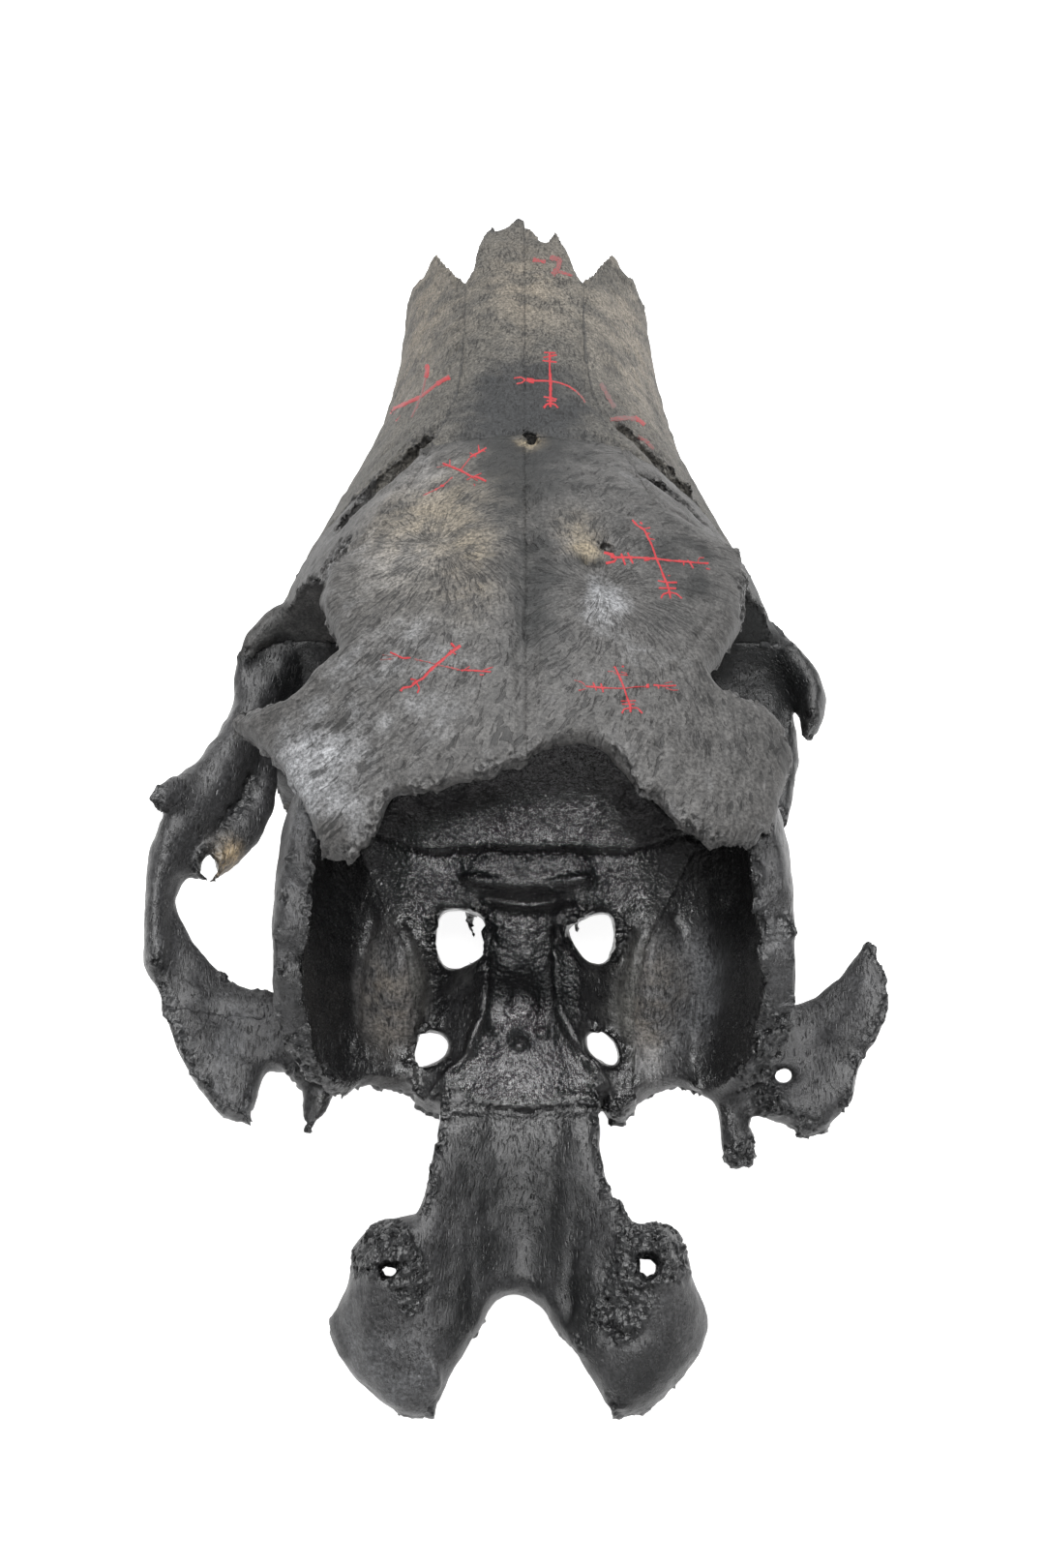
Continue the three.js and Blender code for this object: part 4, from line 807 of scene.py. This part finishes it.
def sight_axes(stage):
    """The eye in metres, and the directions right, up and forward of its picture."""
    pitch, yaw, roll = stage.pitch, stage.yaw, stage.roll
    forward = np.array([math.sin(yaw) * math.cos(pitch), math.cos(yaw) * math.cos(pitch), -math.sin(pitch)])
    level = np.array([math.cos(yaw), -math.sin(yaw), 0.0])
    rise = np.cross(level, forward)
    right = math.cos(roll) * level + math.sin(roll) * rise
    up = -math.sin(roll) * level + math.cos(roll) * rise
    return place(stage.eye), right, up, forward


def stroke_lines(stage):
    """All strokes as one mesh of lines in front of the bone, with the values each needs."""
    eye, right, up, _forward = sight_axes(stage)
    vertices, edges, widths, strengths, drops = [], [], [], [], []
    for middle, strokes in STAVES.values():
        centre = place(middle)
        for strength, half_width, *flat in strokes:
            first = len(vertices)
            for across, rise in zip(flat[::2], flat[1::2]):
                spot = centre + (right * across + up * rise) * MM
                drop = spot - eye
                drop /= np.linalg.norm(drop)
                vertices.append(spot)
                drops.append(drop)
                widths.append(half_width * BRUSH_SHARE * MM)
                strengths.append(strength)
            edges += [(i, i + 1) for i in range(first, len(vertices) - 1)]
    mesh = bpy.data.meshes.new("stroke_lines")
    mesh.from_pydata([tuple(v) for v in vertices], edges, [])
    set_values(mesh, "half_width", np.array(widths))
    set_values(mesh, "strength", np.array(strengths))
    set_values(mesh, "drop", np.array(drops))
    return mesh


def paint_tree():
    """Geometry nodes that lay a thin film of paint along lines, on the bones under them.
    Tubes follow the lines; each of their points drops onto the bone, the near half just
    above its surface and the far half under it. A point that finds no bone before it goes
    to the nearest one."""
    tree = bpy.data.node_groups.new("paint_film", "GeometryNodeTree")

    def step(kind, output, links=None, settings=None, inputs=None):
        """The named output of one new node."""
        return add_node(tree, kind, settings, inputs, links).outputs[output]

    kinds = {"Geometry": "Geometry", "Bones": "Collection", "Paint": "Material"}
    for name, kind in (kinds | dict.fromkeys(("Step", "Film", "Sunk", "Reach"), "Float")).items():
        tree.interface.new_socket(name, in_out="INPUT", socket_type="NodeSocket" + kind)
    tree.interface.new_socket("Geometry", in_out="OUTPUT", socket_type="NodeSocketGeometry")
    given = tree.nodes.new("NodeGroupInput").outputs
    drop, width = (
        step("GeometryNodeInputNamedAttribute", "Attribute", None, {"data_type": kind}, {"Name": name})
        for name, kind in (("drop", "FLOAT_VECTOR"), ("half_width", "FLOAT"))
    )
    here = step("GeometryNodeInputPosition", "Position")
    curve = step("GeometryNodeMeshToCurve", "Curve", {"Mesh": given["Geometry"]})
    evened = step(
        "GeometryNodeResampleCurve", "Curve", {"Curve": curve, "Length": given["Step"]}, {"mode": "LENGTH"}
    )
    ragged_width = times(width, spread(noise(here, 0.9, 2.0), 0.3, 0.7, 0.7, 1.3))
    kept = add_node(tree, "GeometryNodeCaptureAttribute", {"domain": "POINT"}, None, {"Geometry": evened})
    for kind, name, value in (("VECTOR", "Middle", here), ("FLOAT", "Half", ragged_width)):
        kept.capture_items.new(kind, name)
        tree.links.new(value, kept.inputs[name])
    line, middle, half = (kept.outputs[name] for name in ("Geometry", "Middle", "Half"))
    ring = step(
        "GeometryNodeCurvePrimitiveCircle", "Curve", None,
        {"mode": "RADIUS"}, {"Resolution": 8, "Radius": 1.0},
    )
    tube = step(
        "GeometryNodeCurveToMesh", "Mesh", {"Curve": line, "Profile Curve": ring, "Scale": half},
        None, {"Fill Caps": True},
    )
    against = vector_maths("DOT_PRODUCT", vector_maths("SUBTRACT", here, middle), drop, "Value")
    side = maths("DIVIDE", times(against, -1.0), half)
    bones = step(
        "GeometryNodeCollectionInfo", "Instances", {"Collection": given["Bones"]},
        {"transform_space": "ORIGINAL"},
    )
    bones = step("GeometryNodeRealizeInstances", "Geometry", {"Geometry": bones})
    back = vector_maths("SCALE", drop, times(given["Reach"], -1.0))
    ray = add_node(
        tree, "GeometryNodeRaycast", None, None,
        {
            "Target Geometry": bones,
            "Source Position": vector_maths("ADD", here, back),
            "Ray Direction": drop,
            "Ray Length": times(given["Reach"], 2.0),
        },
    ).outputs
    near, far = (maths("MAXIMUM", value, 0.0) for value in (side, times(side, -1.0)))
    above = times(maths("POWER", near, 0.5), given["Film"])
    lift = maths("SUBTRACT", above, times(far, given["Sunk"]))
    raised = vector_maths("SCALE", ray["Hit Normal"], lift)
    landed = vector_maths("ADD", ray["Hit Position"], raised)
    nearest = step("GeometryNodeProximity", "Position", {0: bones, "Sample Position": here})
    settled = step(
        "GeometryNodeSwitch", "Output", {"Switch": ray["Is Hit"], "False": nearest, "True": landed},
        {"input_type": "VECTOR"},
    )
    film = step("GeometryNodeSetPosition", "Geometry", {"Geometry": tube, "Position": settled})
    film = step("GeometryNodeRealizeInstances", "Geometry", {"Geometry": film})
    film = step("GeometryNodeSetMaterial", "Geometry", {"Geometry": film, "Material": given["Paint"]})
    add_node(tree, "NodeGroupOutput", None, None, {"Geometry": film})
    return tree


def number(name, description, default, **more):
    """A decimal setting on the panel."""
    return bpy.props.FloatProperty(name=name, description=description, default=default, **more)


def angle(name, description, degrees):
    """An angle on the panel, kept in radians."""
    return number(name, description, math.radians(degrees), subtype="ANGLE")


def whole_number(name, description, default):
    return bpy.props.IntProperty(name=name, description=description, default=default)


def hex_text(name, description, default):
    """A colour on the panel, as sRGB hex text."""
    return bpy.props.StringProperty(name=name, description=description + ", sRGB hex", default=default)


class BoneSettings(bpy.types.PropertyGroup):
    """Sizes, in millimetres, and colours of the bone surfaces."""

    net: number("Net", "Edge of the faces in mm", 0.65)
    jaw_net: number("Jaw net", "The same for the upper jaws", 0.88)
    edge_passes: whole_number("Edge passes", "Smoothing kept at edges", 2)
    flat_passes: whole_number("Flat passes", "Smoothing of the flats", 80)
    edge_low: number("Edge low", "Shift that is still flat, mm", 0.5)
    edge_high: number("Edge high", "Shift that is an edge, mm", 1.2)
    sway: number("Sway", "Wander of sutures, mm", 0.35)
    broken_sway: number("Broken sway", "Wander of broken edges, mm", 0.8)
    jags: number("Jags", "Raggedness of broken edges, mm", 0.9)
    seam_reach: number("Seam reach", "Width of a suture's zone, mm", 1.9)
    tip_rounding: number("Tip rounding", "Smoothing of snout tips", 0.5)
    seam_swell: number("Seam swell", "Swelling that shuts a suture, mm", 0.14)
    edge_share: number("Edge share", "Sponginess of broken edges", 0.75)
    spongy_reach: number("Spongy reach", "Width of broken zones, mm", 2.2)
    sway_size: number("Sway size", "Length of a wander, mm", 4.0)
    relief: number("Relief", "Height of broad lumps, mm", 0.3)
    relief_size: number("Relief size", "Size of broad lumps, mm", 10.0)
    grain: number("Grain", "Height of the grain, mm", 0.1)
    grain_size: number("Grain size", "Width of the grain, mm", 2.2)
    grain_stretch: number("Grain stretch", "Width over length", 0.25)
    pit_depth: number("Pit depth", "Depth of spongy pits, mm", 1.0)
    pit_spacing: number("Pit spacing", "Pit to pit, mm", 1.9)
    charcoal_hex: hex_text("Charcoal", "Broken bone", "#232425")
    crust_hex: hex_text("Crust", "Braincase crust", "#131314")
    enamel_hex: hex_text("Enamel", "Tooth enamel", "#6b675f")


class PaintSettings(bpy.types.PropertyGroup):
    """The painted staves: film thickness in millimetres and colours."""

    step: number("Step", "Length of one brush step, mm", 0.35)
    film: number("Film", "Height of the film, mm", 0.09)
    sunk: number("Sunk", "Depth of its underside, mm", 0.25)
    reach: number("Reach", "How far it looks for bone, mm", 25.0)
    red_hex: hex_text("Red", "Paint", "#94262b")
    worn_hex: hex_text("Worn", "Bone seen through it", "#5a4b49")


class StageSettings(bpy.types.PropertyGroup):
    """The studio: where the eye is, its lens, and the strength of the lights."""

    eye: bpy.props.FloatVectorProperty(
        name="Eye", description="Eye from the skull's origin, mm", size=3, default=(-2.0, -168.0, 488.0)
    )
    pitch: angle("Pitch", "Angle below level", 54.9)
    yaw: angle("Yaw", "Turn to the right", 0.3)
    roll: angle("Roll", "Lean of the picture", 0.35)
    lens: number("Lens", "Focal length, mm", 50.0)
    key: number("Key", "Overhead softbox", 16.5, unit="POWER")
    fill: number("Fill", "Softbox behind the eye", 7.0, unit="POWER")
    sky: number("Sky", "Even light from all round", 0.22)
    floor_glow: number("Floor glow", "Light from under the floor", 0.9)
    floor_hex: hex_text("Floor", "Floor", "#c4c4c4")


class SKULL_OT_snout(bpy.types.Operator):
    """Weathers the nasal bones and the upper jaws with their teeth."""

    bl_idname = "skull.snout"
    bl_label = "Snout bones"

    def execute(self, context):
        finish_bones(
            context.scene.skull_bone, SNOUT_BONES, "bone_snout", SNOUT_LAP,
            "weathered_bone_snout", SNOUT_COLOURS, 0.72, seam_dirt=0.7, broken_dirt=0.1,
        )
        return {"FINISHED"}


class SKULL_OT_roof(bpy.types.Operator):
    """Weathers the frontal and lacrimal bones."""

    bl_idname = "skull.roof"
    bl_label = "Roof bones"

    def execute(self, context):
        finish_bones(
            context.scene.skull_bone, ROOF_BONES, "bone_roof", BONE_LAP,
            "weathered_bone_roof", ROOF_COLOURS, 0.6, broken_dirt=0.1,
        )
        return {"FINISHED"}


class SKULL_OT_broken(bpy.types.Operator):
    """Weathers the cheek, temporal and occipital bones, with their spongy broken edges."""

    bl_idname = "skull.broken"
    bl_label = "Cheek, temple and rear bones"

    def execute(self, context):
        finish_bones(
            context.scene.skull_bone, BROKEN_BONES, "bone_broken", BONE_LAP,
            "charred_bone_rear", BROKEN_COLOURS, 0.45, wetness=0.1,
        )
        return {"FINISHED"}


class SKULL_OT_inside(bpy.types.Operator):
    """Weathers the bones of the braincase floor and the palate."""

    bl_idname = "skull.inside"
    bl_label = "Floor and palate bones"

    def execute(self, context):
        finish_bones(
            context.scene.skull_bone, INSIDE_BONES, "bone_inside", BONE_LAP,
            "charred_bone_inside", INSIDE_COLOURS, 0.42, wetness=0.2,
        )
        return {"FINISHED"}


class SKULL_OT_staves(bpy.types.Operator):
    """Paints the red staves on the finished bones."""

    bl_idname = "skull.staves"
    bl_label = "Painted staves"

    def execute(self, context):
        props = context.scene.skull_paint
        ground = bpy.data.collections.new("painted_ground")
        for node in SNOUT_BONES + ROOF_BONES:
            bone = bpy.data.objects.get(node + "_bone")
            if bone is None:
                raise RuntimeError(f"finish {node} before the staves")
            ground.objects.link(bone)
        obj = add_object("stave_paint", stroke_lines(context.scene.skull_stage))
        modifier = obj.modifiers.new("paint film", "NODES")
        modifier.node_group = paint_tree()
        values = {
            "Bones": ground,
            "Step": props.step * MM,
            "Film": props.film * MM,
            "Sunk": props.sunk * MM,
            "Reach": props.reach * MM,
            "Paint": paint_material(props),
        }
        for item in modifier.node_group.interface.items_tree:
            if item.in_out == "INPUT" and item.name in values:
                modifier[item.identifier] = values[item.name]
        mesh = evaluated_mesh(obj)
        if not mesh.polygons:
            raise RuntimeError("no paint reached the bone")
        obj.modifiers.clear()
        obj.data = mesh
        mesh.name = "stave_paint"
        bpy.data.collections.remove(ground)
        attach(obj, "root")
        return {"FINISHED"}


class SKULL_OT_stage(bpy.types.Operator):
    """Makes the pale floor, the soft lights and the camera."""

    bl_idname = "skull.stage"
    bl_label = "Studio"

    def execute(self, context):
        props = context.scene.skull_stage
        mesh = bpy.data.meshes.new("studio_floor")
        corners = [(-FLOOR_HALF, -FLOOR_HALF), (FLOOR_HALF, -FLOOR_HALF)]
        corners += [(-x, -y) for x, y in corners]
        mesh.from_pydata([(x, y, 0) for x, y in corners], [], [(0, 1, 2, 3)])
        floor = add_object("studio_floor", mesh)
        material, tree = new_material("matt_white_backdrop_paper")
        add_surface(
            tree,
            {
                "Base Color": linear(props.floor_hex),
                "Roughness": 0.9,
                "Specular IOR Level": 0.1,
                "Emission Color": linear("#ffffff"),
                "Emission Strength": props.floor_glow,
            },
        )
        mesh.materials.append(material)

        world = bpy.data.worlds.new("studio_air")
        world.use_nodes = True
        air = world.node_tree.nodes["Background"].inputs
        air["Color"].default_value = linear("#ffffff")
        air["Strength"].default_value = props.sky
        context.scene.world = world
        context.scene.view_settings.view_transform = "Standard"
        for name, (where, size, power) in SOFTBOXES.items():
            data = bpy.data.lights.new(name, "AREA")
            data.size = size
            data.energy = getattr(props, power)
            light = add_object(name, data)
            light.location = where
            light.rotation_euler = (LIT_POINT - Vector(where)).to_track_quat("-Z", "Y").to_euler()

        eye, right, up, forward = sight_axes(props)
        data = bpy.data.cameras.new("studio_camera")
        data.lens = props.lens
        data.sensor_width = 36.0
        data.sensor_fit = "AUTO"
        data.clip_start = 0.01
        camera = add_object("studio_camera", data)
        turn = Matrix([right, up, -forward]).transposed().to_4x4()
        camera.matrix_world = Matrix.Translation(Vector(eye)) @ turn
        context.scene.camera = camera
        return {"FINISHED"}


class SKULL_PT_panel(bpy.types.Panel):
    """Lists the skull's pieces."""

    bl_label = "Painted Elk Skull"
    bl_idname = "SKULL_PT_panel"
    bl_space_type = "VIEW_3D"
    bl_region_type = "UI"
    bl_category = "Skull"

    def draw(self, context):
        for operator in OPERATORS:
            self.layout.operator(operator.bl_idname)
        for group in (context.scene.skull_bone, context.scene.skull_paint, context.scene.skull_stage):
            box = self.layout.box()
            for name in group.__annotations__:
                box.prop(group, name)


OPERATORS = (SKULL_OT_snout, SKULL_OT_roof, SKULL_OT_broken, SKULL_OT_inside, SKULL_OT_staves, SKULL_OT_stage)
CLASSES = (BoneSettings, PaintSettings, StageSettings) + OPERATORS + (SKULL_PT_panel,)


def register():
    for cls in CLASSES:
        bpy.utils.register_class(cls)
    bpy.types.Scene.skull_bone = bpy.props.PointerProperty(type=BoneSettings)
    bpy.types.Scene.skull_paint = bpy.props.PointerProperty(type=PaintSettings)
    bpy.types.Scene.skull_stage = bpy.props.PointerProperty(type=StageSettings)


def unregister():
    del bpy.types.Scene.skull_stage
    del bpy.types.Scene.skull_paint
    del bpy.types.Scene.skull_bone
    for cls in reversed(CLASSES):
        bpy.utils.unregister_class(cls)


def main():
    register()
    bpy.ops.skull.snout()
    bpy.ops.skull.roof()
    bpy.ops.skull.broken()
    bpy.ops.skull.inside()
    bpy.ops.skull.staves()
    bpy.ops.skull.stage()


if __name__ == "__main__":
    main()
